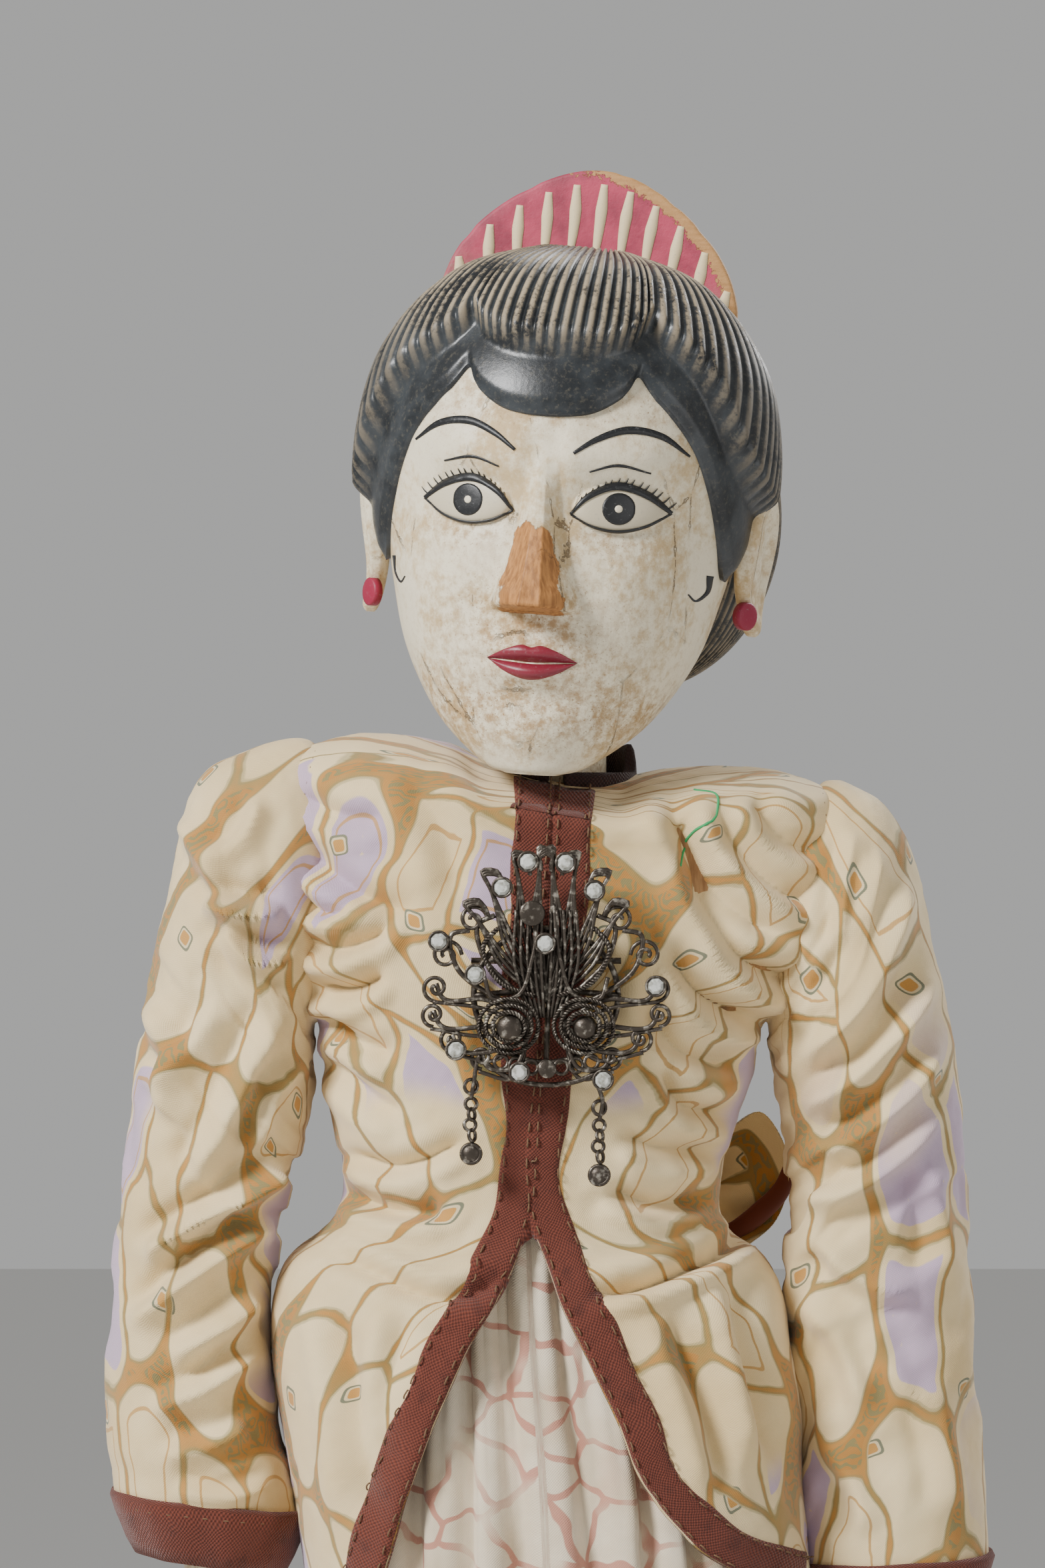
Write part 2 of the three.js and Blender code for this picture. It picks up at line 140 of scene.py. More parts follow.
def mesh(name, verts, faces, material, body, replaces=(), uv=None, smooth=True):
    """Makes a piece from millimetre vertices, which rides on a body."""
    data = bpy.data.meshes.new(name)
    data.from_pydata((np.asarray(verts, float) * MM).tolist(), [], [list(f) for f in faces])
    data.polygons.foreach_set("use_smooth", [smooth] * len(data.polygons))
    if uv is not None:
        layer = data.uv_layers.new(name="cloth")
        at = np.zeros(len(data.loops), int)
        data.loops.foreach_get("vertex_index", at)
        layer.data.foreach_set("uv", (np.asarray(uv, float)[at] * 0.01).ravel())
    data.update()
    obj = bpy.data.objects.new(name, data)
    bpy.context.collection.objects.link(obj)
    for each in material if isinstance(material, (list, tuple)) else [material]:
        data.materials.append(each)
    if body:
        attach(obj, body)
    if replaces:
        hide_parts(*replaces)
    return obj


def paint(obj, name, values):
    """Stores one number for each vertex, which a material can read."""
    layer = obj.data.attributes.new(name, "FLOAT", "POINT")
    layer.data.foreach_set("value", np.asarray(values, float).ravel())


def grid_faces(rows, cols, wrap=True, start=0, flip=False):
    """Quads of a rows by cols grid of points, whose columns may close into a ring."""
    r = np.arange(rows - 1)[:, None]
    c = np.arange(cols if wrap else cols - 1)[None, :]
    nxt = (c + 1) % cols
    quads = np.stack(
        [r * cols + c, r * cols + nxt, (r + 1) * cols + nxt, (r + 1) * cols + c], axis=-1
    ).reshape(-1, 4)
    return (quads[:, ::-1] if flip else quads) + start


def capped(rings, flip=False):
    """Verts and faces of a stack of closed rings with both ends closed."""
    rows, cols = rings.shape[:2]
    verts = np.vstack([rings.reshape(-1, 3), rings[0].mean(0), rings[-1].mean(0)])
    faces = grid_faces(rows, cols, flip=flip).tolist()
    bottom, top, last = rows * cols, rows * cols + 1, (rows - 1) * cols
    for c in range(cols):
        n = (c + 1) % cols
        faces.append([bottom, c, n] if flip else [bottom, n, c])
        faces.append([top, last + n, last + c] if flip else [top, last + c, last + n])
    return verts, faces


def joined(parts):
    """Several (verts, faces) as one."""
    verts, faces, start = [], [], 0
    for v, f in parts:
        verts.append(np.asarray(v, float))
        faces += [[i + start for i in face] for face in f]
        start += len(v)
    return np.vstack(verts), faces


def frames_along(line):
    """Two unit vectors across a line at each of its points, without twist."""
    tangent = np.gradient(line, axis=0)
    tangent /= np.linalg.norm(tangent, axis=1)[:, None] + 1e-12
    side = np.cross(tangent[0], [0.31, 0.74, 0.59])
    sides = []
    for t in tangent:
        side = side - t * np.dot(side, t)
        side = side / (np.linalg.norm(side) + 1e-12)
        sides.append(side)
    sides = np.array(sides)
    return sides, np.cross(tangent, sides)


def wire(points, radius, sides=8, count=None, flat=1.0):
    """A round wire through points; radius is one number or one for each sample."""
    line = through(points, count or max(6, 4 * len(points)))
    radius = np.broadcast_to(np.asarray(radius, float), (len(line),))
    if len(np.unique(radius)) > 1:
        radius = np.interp(np.linspace(0, 1, len(line)), np.linspace(0, 1, len(radius)), radius)
    a, b = frames_along(line)
    turn = np.linspace(0, 2 * np.pi, sides, endpoint=False)
    rings = line[:, None] + radius[:, None, None] * (
        a[:, None] * np.cos(turn)[None, :, None] + b[:, None] * np.sin(turn)[None, :, None] * flat
    )
    return capped(rings, flip=True)


def torus(centre, radius, wire_radius, normal=(0, 1, 0), sides=8, count=20):
    n = np.array(normal, float) / np.linalg.norm(normal)
    a = np.cross(n, [0.3, 0.5, 0.8])
    a /= np.linalg.norm(a)
    b = np.cross(n, a)
    turn = np.linspace(0, 2 * np.pi, count, endpoint=False)[:, None, None]
    small = np.linspace(0, 2 * np.pi, sides, endpoint=False)[None, :, None]
    out = a * np.cos(turn) + b * np.sin(turn)
    verts = np.array(centre) + out * (radius + wire_radius * np.cos(small)) + n * (
        wire_radius * np.sin(small)
    )
    quads = []
    for i in range(count):
        for j in range(sides):
            i2, j2 = (i + 1) % count, (j + 1) % sides
            quads.append([i * sides + j, i * sides + j2, i2 * sides + j2, i2 * sides + j])
    return verts.reshape(-1, 3), quads


def lathe(profile, centre, normal, sides=16):
    """A closed turned form about an axis through centre; profile is (radius, height) pairs."""
    n = np.array(normal, float) / np.linalg.norm(normal)
    a = np.cross(n, [0.3, 0.5, 0.8])
    a /= np.linalg.norm(a)
    b = np.cross(n, a)
    turn = np.linspace(0, 2 * np.pi, sides, endpoint=False)
    ring = a * np.cos(turn)[:, None] + b * np.sin(turn)[:, None]
    rings = np.array([np.array(centre) + ring * r + n * h for r, h in profile])
    return capped(rings)


# ---------------------------------------------------------------- materials


class Finish:
    """A Principled material with short calls for its nodes."""

    def __init__(self, name, colour=(0.8, 0.8, 0.8), roughness=0.6, **sockets):
        self.material = bpy.data.materials.new(name)
        self.material.use_nodes = True
        self.tree = self.material.node_tree
        self.shader = self.tree.nodes["Principled BSDF"]
        self.shader.inputs["Base Color"].default_value = (*colour, 1)
        self.shader.inputs["Roughness"].default_value = roughness
        for key, value in sockets.items():
            self.shader.inputs[key.replace("_", " ")].default_value = value

    def node(self, kind, inputs=None, **props):
        made = self.tree.nodes.new("ShaderNode" + kind)
        for key, value in props.items():
            setattr(made, key, value)
        for key, value in (inputs or {}).items():
            if isinstance(value, bpy.types.NodeSocket):
                self.tree.links.new(value, made.inputs[key])
            else:
                made.inputs[key].default_value = value
        return made

    def where(self, kind="Object", scale=(1, 1, 1), turn=(0, 0, 0)):
        """Coordinates in millimetres: the object's, or the cloth's own."""
        if kind == "cloth":
            source = self.node("UVMap", uv_map="cloth").outputs[0]
            unit = 100
        else:
            source = self.node("TexCoord").outputs[kind]
            unit = 1000
        sized = [s * unit for s in scale]
        return self.node(
            "Mapping", {"Vector": source, "Scale": sized, "Rotation": turn}
        ).outputs[0]

    def noise(self, at, scale, detail=3, rough=0.55, **more):
        return self.node(
            "TexNoise", {"Vector": at, "Scale": scale, "Detail": detail, "Roughness": rough, **more}
        ).outputs["Fac"]

    def maths(self, operation, a, b=0.0, c=0.0):
        return self.node("Math", {0: a, 1: b, 2: c}, operation=operation).outputs[0]

    def step(self, value, low, high):
        """0 below low, 1 above high, smooth between; low may be above high."""
        return self.node(
            "MapRange",
            {"Value": value, "From Min": low, "From Max": high},
            interpolation_type="SMOOTHSTEP",
        ).outputs[0]

    def mix(self, share, a, b):
        made = self.node("Mix", data_type="RGBA")
        for socket, value in ((made.inputs[0], share), (made.inputs[6], a), (made.inputs[7], b)):
            if isinstance(value, bpy.types.NodeSocket):
                self.tree.links.new(value, socket)
            else:
                socket.default_value = (*value, 1) if isinstance(value, tuple) else value
        return made.outputs[2]

    def stored(self, name):
        return self.node("Attribute", attribute_name=name).outputs["Fac"]

    def colour(self, value):
        self.tree.links.new(value, self.shader.inputs["Base Color"])

    def rough(self, value):
        self.tree.links.new(value, self.shader.inputs["Roughness"])

    def bumps(self, *layers):
        """Each layer is (height, depth in millimetres, strength)."""
        normal = None
        for height, depth, strength in layers:
            made = self.node(
                "Bump", {"Height": height, "Distance": depth * MM, "Strength": strength}
            )
            if normal:
                self.tree.links.new(normal, made.inputs["Normal"])
            normal = made.outputs[0]
        self.tree.links.new(normal, self.shader.inputs["Normal"])


def srgb(text):
    """A hex colour as linear light."""
    parts = [int(text[i : i + 2], 16) / 255 for i in (0, 2, 4)]
    return tuple(v / 12.92 if v <= 0.04045 else ((v + 0.055) / 1.055) ** 2.4 for v in parts)


def carved_paint():
    """Aged cream lime paint on carved wood, with mottling, cracks and bare worn wood."""
    f = Finish("carved_paint", roughness=0.55, Specular_IOR_Level=0.35)
    at = f.where()
    broad = f.noise(at, 0.06, 4)
    fine = f.noise(at, 0.5, 6, 0.7)
    speck = f.noise(at, 2.2, 3, 0.6)
    grime = f.step(f.maths("ADD", f.maths("MULTIPLY", broad, 0.6), f.maths("MULTIPLY", fine, 0.4)), 0.46,
        0.62)
    base = f.mix(grime, srgb("E6DBC0"), srgb("C8B086"))
    base = f.mix(f.maths("MULTIPLY", f.step(speck, 0.58, 0.7), f.maths("ADD", f.stored("aged"), 0.15)), base,
        srgb("8E6B45"))
    base = f.mix(f.maths("MULTIPLY", f.stored("aged"), f.step(fine, 0.36, 0.66)), base, srgb("A07E55"))
    cells = f.node("TexVoronoi", {"Vector": f.where(scale=(1, 1, 0.35)), "Scale": 0.075},
        feature="DISTANCE_TO_EDGE").outputs[0]
    warped = f.maths("ADD", cells, f.maths("MULTIPLY", f.maths("SUBTRACT", fine, 0.5), 0.12))
    crack = f.maths("MULTIPLY", f.step(f.maths("ABSOLUTE", warped), 0.010, 0.003), f.step(broad, 0.5, 0.6))
    base = f.mix(f.maths("MULTIPLY", crack, 0.7), base, srgb("5C452E"))
    grain = f.noise(f.where(scale=(1, 1, 0.08)), 1.2, 5, 0.6)
    wood = f.mix(f.step(grain, 0.35, 0.65), srgb("B98048"), srgb("8F5F33"))
    worn = f.step(f.maths("ADD", f.stored("worn"), f.maths("MULTIPLY", f.maths("SUBTRACT", fine, 0.5), 0.7)),
        0.5, 0.58)
    base = f.mix(worn, base, wood)
    f.colour(base)
    f.rough(f.maths("ADD", 0.46, f.maths("MULTIPLY", grime, 0.22)))
    f.bumps((fine, 0.25, 0.5), (crack, -0.3, 0.8), (worn, -0.35, 0.7), (grain, 0.15, 0.3))
    return f.material


def hair_paint():
    """Black paint over combed grooves, dusty tan on the ridges."""
    f = Finish("hair_paint", roughness=0.42, Specular_IOR_Level=0.5)
    at = f.where()
    patch = f.noise(at, 0.12, 4)
    fine = f.noise(at, 1.1, 5, 0.7)
    base = f.mix(f.step(patch, 0.4, 0.65), srgb("1B1E21"), srgb("33373A"))
    dust = f.maths("MULTIPLY", f.stored("ridge"),
        f.step(f.maths("ADD", f.maths("MULTIPLY", fine, 0.6), f.maths("MULTIPLY", patch, 0.5)), 0.42, 0.6))
    base = f.mix(dust, base, srgb("A6957A"))
    haze = f.maths("MULTIPLY", f.step(fine, 0.5, 0.72), 0.28)
    base = f.mix(haze, base, srgb("77705F"))
    f.colour(base)
    f.rough(f.maths("ADD", 0.34, f.maths("MULTIPLY", dust, 0.45)))
    f.bumps((fine, 0.12, 0.4), (patch, 0.3, 0.3))
    return f.material


def line_paint(name, colour, rough=0.4):
    f = Finish(name, roughness=rough)
    fine = f.noise(f.where(), 1.6, 4, 0.7)
    f.colour(f.mix(f.step(fine, 0.56, 0.78), colour, tuple(0.55 * c + 0.12 for c in colour)))
    f.rough(f.maths("ADD", rough - 0.1, f.maths("MULTIPLY", fine, 0.25)))
    f.bumps((fine, 0.08, 0.4))
    return f.material


def comb_paint():
    """Crimson paint, dusty at the foot, rubbed to raw wood along the edge."""
    f = Finish("comb_paint", roughness=0.6)
    at = f.where()
    patch = f.noise(at, 0.15, 4)
    fine = f.noise(at, 1.0, 6, 0.7)
    base = f.mix(f.step(patch, 0.35, 0.7), srgb("B9415A"), srgb("8F3145"))
    dust = f.maths("MULTIPLY", f.stored("dust"), f.step(fine, 0.3, 0.6))
    base = f.mix(dust, base, srgb("9C7F6A"))
    grain = f.noise(f.where(scale=(0.12, 1, 1)), 1.4, 4)
    wood = f.mix(grain, srgb("D0A168"), srgb("9A6A3A"))
    edge = f.maths("ADD", f.stored("edge"), f.maths("MULTIPLY", f.maths("SUBTRACT", fine, 0.5), 0.9))
    worn = f.step(edge, 0.62, 0.7)
    f.colour(f.mix(worn, base, wood))
    f.bumps((fine, 0.2, 0.5), (worn, -0.3, 0.7))
    return f.material


def raw_wood(name, light, dark, rough=0.55, along=2):
    f = Finish(name, roughness=rough)
    scale = [1.0, 1.0, 1.0]
    scale[along] = 0.06
    grain = f.noise(f.where(scale=tuple(scale)), 0.9, 6, 0.6)
    soil = f.noise(f.where(), 0.05, 4)
    base = f.mix(f.step(grain, 0.3, 0.7), light, dark)
    f.colour(f.mix(f.step(soil, 0.5, 0.7), base, tuple(c * 0.55 for c in dark)))
    f.rough(f.maths("ADD", rough - 0.12, f.maths("MULTIPLY", grain, 0.3)))
    f.bumps((grain, 0.25, 0.5))
    return f.material


def weave(f, pitch=0.42):
    """A plain weave in the cloth's own coordinates: height from 0 to 1."""
    at = f.where("cloth")
    parts = f.node("SeparateXYZ", {0: at}).outputs
    wobble = f.maths("MULTIPLY", f.noise(at, 0.35, 2), 0.9)
    warp = f.maths("SINE", f.maths("MULTIPLY", f.maths("ADD", parts[0], wobble), 2 * math.pi / pitch))
    weft = f.maths("SINE", f.maths("MULTIPLY", f.maths("ADD", parts[1], wobble), 2 * math.pi / pitch))
    return f.maths("ADD", f.maths("MULTIPLY", f.maths("MULTIPLY", warp, weft), 0.5), 0.5)


def batik():
    """Cream cotton printed with tall rounded cells in ochre and grey-green, lilac fills and squares."""
    f = Finish("batik", roughness=0.88, Sheen_Weight=0.25, Sheen_Roughness=0.5)
    at = f.where("cloth")
    sway = f.node("TexNoise", {"Vector": at, "Scale": 0.05, "Detail": 1}).outputs["Color"]
    drift = f.node("VectorMath", {0: sway, 1: (0.5, 0.5, 0.5)}, operation="SUBTRACT").outputs[0]
    moved = f.node("VectorMath", {0: drift, 1: (9, 12, 0), 2: at}, operation="MULTIPLY_ADD").outputs[0]
    tall = f.node("Mapping", {"Vector": moved, "Scale": (0.072, 0.034, 1)}).outputs[0]
    cells = {"Vector": tall, "Scale": 1.0, "Randomness": 0.72}
    gap = f.node("TexVoronoi", cells, feature="DISTANCE_TO_EDGE", voronoi_dimensions="2D").outputs["Distance"]
    blob = f.node("TexVoronoi", {**cells, "Smoothness": 0.25}, feature="SMOOTH_F1", voronoi_dimensions="2D")
    ident = f.node("TexVoronoi", cells, feature="F1", voronoi_dimensions="2D").outputs["Color"]
    tone = f.node("SeparateColor", {0: ident}).outputs
    thick = f.maths("ADD", 0.008, f.maths("MULTIPLY", f.noise(at, 0.09, 2), 0.045))
    ripple = f.maths("MULTIPLY", f.maths("SUBTRACT", f.noise(at, 0.2, 2), 0.5), 0.05)
    line = f.maths("ADD", f.maths("SUBTRACT", thick, gap), ripple)
    corner = f.maths("SUBTRACT", blob.outputs["Distance"], 0.60)
    ink = f.node("Math", {0: line, 1: corner, 2: 0.07}, operation="SMOOTH_MAX").outputs[0]
    band = f.step(ink, -0.006, 0.006)
    rim = f.step(f.maths("ABSOLUTE", ink), 0.022, 0.010)
    core = f.step(ink, 0.05, 0.06)
    cream = f.mix(f.step(f.noise(at, 0.03, 3), 0.35, 0.7), srgb("EAD3A3"), srgb("DBBF8A"))
    fringe = f.noise(at, 0.5, 3)
    patchy = f.step(f.noise(at, 0.012, 1), 0.44, 0.5)
    lilac = f.maths("MULTIPLY", f.step(tone[0], 0.62, 0.63), f.step(ink, -0.085, -0.1))
    lilac = f.maths("MULTIPLY", lilac, patchy)
    base = f.mix(f.maths("MULTIPLY", lilac, f.step(fringe, 0.22, 0.34)), cream, srgb("BCA5BA"))
    inner = f.step(f.maths("ABSOLUTE", f.maths("ADD", ink, 0.16)), 0.016, 0.009)
    inner = f.maths("MULTIPLY", inner, f.step(tone[1], 0.62, 0.63))
    base = f.mix(f.maths("MULTIPLY", inner, 0.85), base, srgb("B98B48"))
    ochre = f.mix(f.step(f.noise(at, 0.07, 2), 0.45, 0.6), srgb("B5813A"), srgb("A07F42"))
    base = f.mix(band, base, ochre)
    base = f.mix(f.maths("MULTIPLY", rim, 0.5), base, srgb("837C4F"))
    swirl = f.step(f.maths("SINE", f.maths("MULTIPLY", f.noise(at, 0.16, 2), 60)), -0.1, 0.3)
    base = f.mix(core, base, f.mix(swirl, srgb("B07A34"), srgb("85794A")))
    parts = f.node("SeparateXYZ", {0: moved}).outputs
    base = squares(f, base, parts, ink)
    threads = weave(f)
    base = f.mix(f.maths("MULTIPLY", threads, 0.10), base, srgb("8F7A55"))
    soil = f.step(f.noise(at, 0.018, 4), 0.55, 0.75)
    base = f.mix(f.maths("MULTIPLY", soil, 0.25), base, srgb("A98F66"))
    f.colour(base)
    f.rough(f.maths("ADD", 0.8, f.maths("MULTIPLY", threads, 0.12)))
    f.bumps((threads, 0.12, 0.5), (f.noise(at, 0.25, 4), 0.5, 0.25))
    return f.material


def squares(f, base, parts, edge):
    """Small ochre squares in grey-green frames, scattered over the open ground."""
    pitch = 19.0
    ids, near = [], []
    for part, shift in ((parts[0], 5.0), (parts[1], 9.0)):
        cell = f.maths("DIVIDE", f.maths("ADD", part, shift), pitch)
        ids.append(f.maths("FLOOR", cell))
        near.append(f.maths("FRACT", cell))
    key = f.node("CombineXYZ", {0: ids[0], 1: ids[1]}).outputs[0]
    chance = f.node("TexWhiteNoise", {"Vector": key}, noise_dimensions="2D")
    jitter = f.node("SeparateColor", {0: chance.outputs["Color"]}).outputs
    far = []
    for k in (0, 1):
        place = f.maths("ADD", 0.25, f.maths("MULTIPLY", jitter[k], 0.5))
        far.append(f.maths("ABSOLUTE", f.maths("SUBTRACT", near[k], place)))
    power = [f.maths("POWER", v, 4.0) for v in far]
    size = f.maths("POWER", f.maths("ADD", power[0], power[1]), 0.25)
    chosen = f.maths("MULTIPLY", f.step(chance.outputs["Value"], 0.55, 0.56), f.step(edge, 0.0, -0.02))
    base = f.mix(f.maths("MULTIPLY", f.step(size, 0.112, 0.106), chosen), base, srgb("70735C"))
    base = f.mix(f.maths("MULTIPLY", f.step(size, 0.090, 0.084), chosen), base, srgb("D9C69C"))
    return f.mix(f.maths("MULTIPLY", f.step(size, 0.070, 0.062), chosen), base, srgb("C08B40"))


def skirt_print():
    """Thin cream cotton with faded red outlines and a few dark sewing lines."""
    f = Finish("skirt_print", roughness=0.9, Sheen_Weight=0.2)
    at = f.where("cloth")
    sway = f.node("TexNoise", {"Vector": at, "Scale": 0.07, "Detail": 2}).outputs["Color"]
    drift = f.node("VectorMath", {0: sway, 1: (0.5, 0.5, 0.5)}, operation="SUBTRACT").outputs[0]
    moved = f.node("VectorMath", {0: drift, 1: (12, 12, 0), 2: at}, operation="MULTIPLY_ADD").outputs[0]
    tall = f.node("Mapping", {"Vector": moved, "Scale": (0.07, 0.10, 1)}).outputs[0]
    cell = f.node("TexVoronoi", {"Vector": tall, "Scale": 1.0, "Randomness": 0.9},
        feature="DISTANCE_TO_EDGE", voronoi_dimensions="2D").outputs[0]
    fade = f.noise(at, 0.045, 3)
    line = f.maths("MULTIPLY", f.step(cell, 0.075, 0.05), f.step(fade, 0.36, 0.55))
    cream = f.mix(f.step(f.noise(at, 0.05, 3), 0.3, 0.7), srgb("E4D6BE"), srgb("CDBB9E"))
    base = f.mix(f.maths("MULTIPLY", line, 0.75), cream, srgb("B0604F"))
    wash = f.maths("MULTIPLY", f.step(f.noise(at, 0.035, 2), 0.55, 0.7), 0.35)
    base = f.mix(wash, base, srgb("C98F79"))
    threads = weave(f, 0.5)
    base = f.mix(f.maths("MULTIPLY", threads, 0.12), base, srgb("8F7A60"))
    f.colour(base)
    f.bumps((threads, 0.14, 0.5), (f.noise(at, 0.3, 4), 0.4, 0.25))
    return f.material


def coarse_cloth(name, light, dark, pitch=0.75):
    """Coarse woven cotton whose threads show one by one."""
    f = Finish(name, roughness=0.95, Sheen_Weight=0.15)
    at = f.where("cloth")
    threads = weave(f, pitch)
    patch = f.noise(at, 0.2, 4)
    base = f.mix(threads, dark, light)
    f.colour(f.mix(f.maths("MULTIPLY", f.step(patch, 0.5, 0.75), 0.5), base, tuple(c * 0.6 for c in dark)))
    f.bumps((threads, 0.25, 0.8), (patch, 0.3, 0.3))
    return f.material


def old_silver():
    f = Finish("old_silver", roughness=0.42, Metallic=0.85)
    at = f.where()
    patch = f.noise(at, 0.8, 4)
    bright = f.step(patch, 0.5, 0.72)
    f.colour(f.mix(bright, srgb("4A433C"), srgb("A39C90")))
    f.rough(f.maths("ADD", 0.3, f.maths("MULTIPLY", f.noise(at, 2.0, 4), 0.3)))
    f.bumps((f.noise(at, 3.0, 4), 0.1, 0.4))
    return f.material


def paste_stone():
    f = Finish("paste_stone", colour=(0.86, 0.88, 0.84), roughness=0.04, Transmission_Weight=0.35, IOR=1.6)
    f.shader.inputs["Coat Weight"].default_value = 0.6
    cloud = f.noise(f.where(), 0.9, 3)
    f.colour(f.mix(f.step(cloud, 0.4, 0.7), srgb("F1F2EA"), srgb("A9A79A")))
    return f.material


def twine():
    f = Finish("twine", colour=srgb("8C7350"), roughness=0.9)
    fibre = f.node("TexWave",
        {"Vector": f.where(turn=(0.6, 0.5, 0)), "Scale": 1.6, "Distortion": 2.0}).outputs["Fac"]
    f.colour(f.mix(fibre, srgb("6B5536"), srgb("A78C62")))
    f.bumps((fibre, 0.3, 0.8))
    return f.material


PAINT = carved_paint()
HAIR = hair_paint()
BLACK = line_paint("black_line", srgb("17181A"), 0.4)
LIPS = line_paint("lip_red", srgb("7C2030"), 0.38)
DOT = line_paint("ear_crimson", srgb("8E1A38"), 0.5)
PALE = line_paint("pale_paint", srgb("E4D8BC"), 0.5)
EYE = line_paint("eye_paint", srgb("C9BDA2"), 0.45)
COMB_PAINT = comb_paint()
STRIPE = line_paint("comb_stripe", srgb("DFCBA0"), 0.6)
WOOD = raw_wood("torso_wood", srgb("B98F5C"), srgb("8A6238"))
ROD_WOOD = raw_wood("rod_wood", srgb("A87845"), srgb("6F4723"), 0.5)
BAMBOO = raw_wood("bamboo", srgb("C79E5F"), srgb("9A7038"), 0.45)
LEATHER = raw_wood("leather", srgb("5E3D24"), srgb("3B2414"), 0.7, 0)
BATIK = batik()
SKIRT = skirt_print()
BINDING = coarse_cloth("binding_cloth", srgb("763826"), srgb("44180F"))
DARK = coarse_cloth("dark_cloth", srgb("3B1E19"), srgb("1E0F0D"))
SILVER = old_silver()
STONE = paste_stone()
TWINE = twine()
THREAD = line_paint("brown_thread", srgb("6B5138"), 0.85)
BLACK_THREAD = line_paint("black_thread", srgb("16130F"), 0.85)
GREEN_THREAD = line_paint("green_thread", srgb("2F9A5C"), 0.8)


# ---------------------------------------------------------------- head

HEAD_CHIN, HEAD_YAW, HEAD_TILT, HEAD_NOD = 527.0, -7.0, 4.0, 3.0
HEAD_PLACE = np.array(
    Matrix.Translation((0, 0, HEAD_CHIN))
    @ Matrix.Rotation(math.radians(HEAD_TILT), 4, "Y")
    @ Matrix.Rotation(math.radians(HEAD_YAW), 4, "Z")
    @ Matrix.Rotation(math.radians(HEAD_NOD), 4, "X")
)


def on_rod(points):
    """From the head's upright frame, chin at zero, to its place on the rod."""
    return np.asarray(points, float) @ HEAD_PLACE[:3, :3].T + HEAD_PLACE[:3, 3]


# height above the chin, half-width, half-depth, middle in Y
SKULL = np.array([
    (-3, 5, 4, -25.5), (-1, 10.5, 9.5, -21.5), (7, 20, 20, -13.5), (19, 27.5, 29, -6.5),
    (32, 31.5, 34, -2), (44, 34, 36.2, 0), (56, 34.8, 36.6, 0), (68, 33.2, 35.5, 0.5),
    (76, 29.8, 32.5, 1), (83, 24.4, 28, 2), (88, 17.8, 21, 3), (91.5, 7, 8, 4),
], float)
EYE_X, EYE_Z = 14.0, 47.5
BROW_Z, NOSE_TOP, NOSE_BASE, MOUTH_Z = 57.0, 54.0, 29.0, 18.5


def skull_point(azimuth, level):
    """The plain skull's surface; azimuth is 0 at the front, level counts table rows."""
    rows = np.arange(len(SKULL))
    z, a, b, y = (curve(rows, SKULL[:, k], level) for k in range(4))
    return np.stack([a * np.sin(azimuth), y - b * np.cos(azimuth), z], axis=-1)


def features(x, z):
    """How far the carved face stands forward of the plain skull."""
    side = np.abs(x)
    socket = -2.6 * np.exp(-(((side - EYE_X) / 9.5) ** 2) - ((z - EYE_Z - 1) / 6.0) ** 2)
    ball = 1 - ((side - EYE_X) / 8.2) ** 2 - ((z - EYE_Z) / 4.4) ** 2
    eye = 2.5 * np.sqrt(np.clip(ball, 0, 1))
    brow = 1.1 * bump(z, BROW_Z + 0.5, 4.5) * smoothstep(30, 18, side) * smoothstep(1, 6, side)
    fall = np.clip((NOSE_TOP - z) / (NOSE_TOP - NOSE_BASE), 0, 1)
    ridge = 1.2 + 8.6 * fall**1.15
    width = 2.4 + 4.4 * fall**1.5
    wedge = ridge * np.clip(1.3 - side / width, 0, 1) ** 0.9
    nose = wedge * smoothstep(NOSE_BASE - 1.6, NOSE_BASE, z) * smoothstep(NOSE_TOP + 5, NOSE_TOP - 4, z)
    wing = 1.9 * np.exp(-(((side - 5.4) / 2.4) ** 2) - ((z - NOSE_BASE - 2.4) / 2.8) ** 2)
    cheek = 1.3 * np.exp(-(((side - 19) / 9) ** 2) - ((z - 32) / 9) ** 2)
    muzzle = 1.6 * np.exp(-((x / 11) ** 2) - ((z - MOUTH_Z) / 7) ** 2)
    upper = 1.3 * np.exp(-((x / 7.5) ** 2) - ((z - MOUTH_Z - 1.9) / 1.6) ** 2)
    lower = 1.5 * np.exp(-((x / 6.5) ** 2) - ((z - MOUTH_Z + 2.3) / 1.8) ** 2)
    cleft = -0.9 * np.exp(-((x / 8.5) ** 2) - ((z - MOUTH_Z) / 0.6) ** 2)
    groove = -0.5 * np.exp(-((x / 1.4) ** 2) - ((z - 24) / 3) ** 2)
    under = -0.8 * np.exp(-((x / 8) ** 2) - ((z - 11.5) / 2.5) ** 2)
    chin = 1.4 * np.exp(-((x / 6.5) ** 2) - ((z - 5.5) / 4) ** 2)
    return socket + eye + brow + nose + wing + cheek + muzzle + upper + lower + cleft + groove + under + chin


def head_surface(azimuth, level):
    point = skull_point(azimuth, level)
    front = smoothstep(0.25, 0.55, np.cos(azimuth))
    push = features(point[..., 0], point[..., 2]) * front
    push = push + 0.25 * noise(point, 9.0) + 0.12 * noise(point + 40, 3.5)
    point[..., 1] -= push
    return point


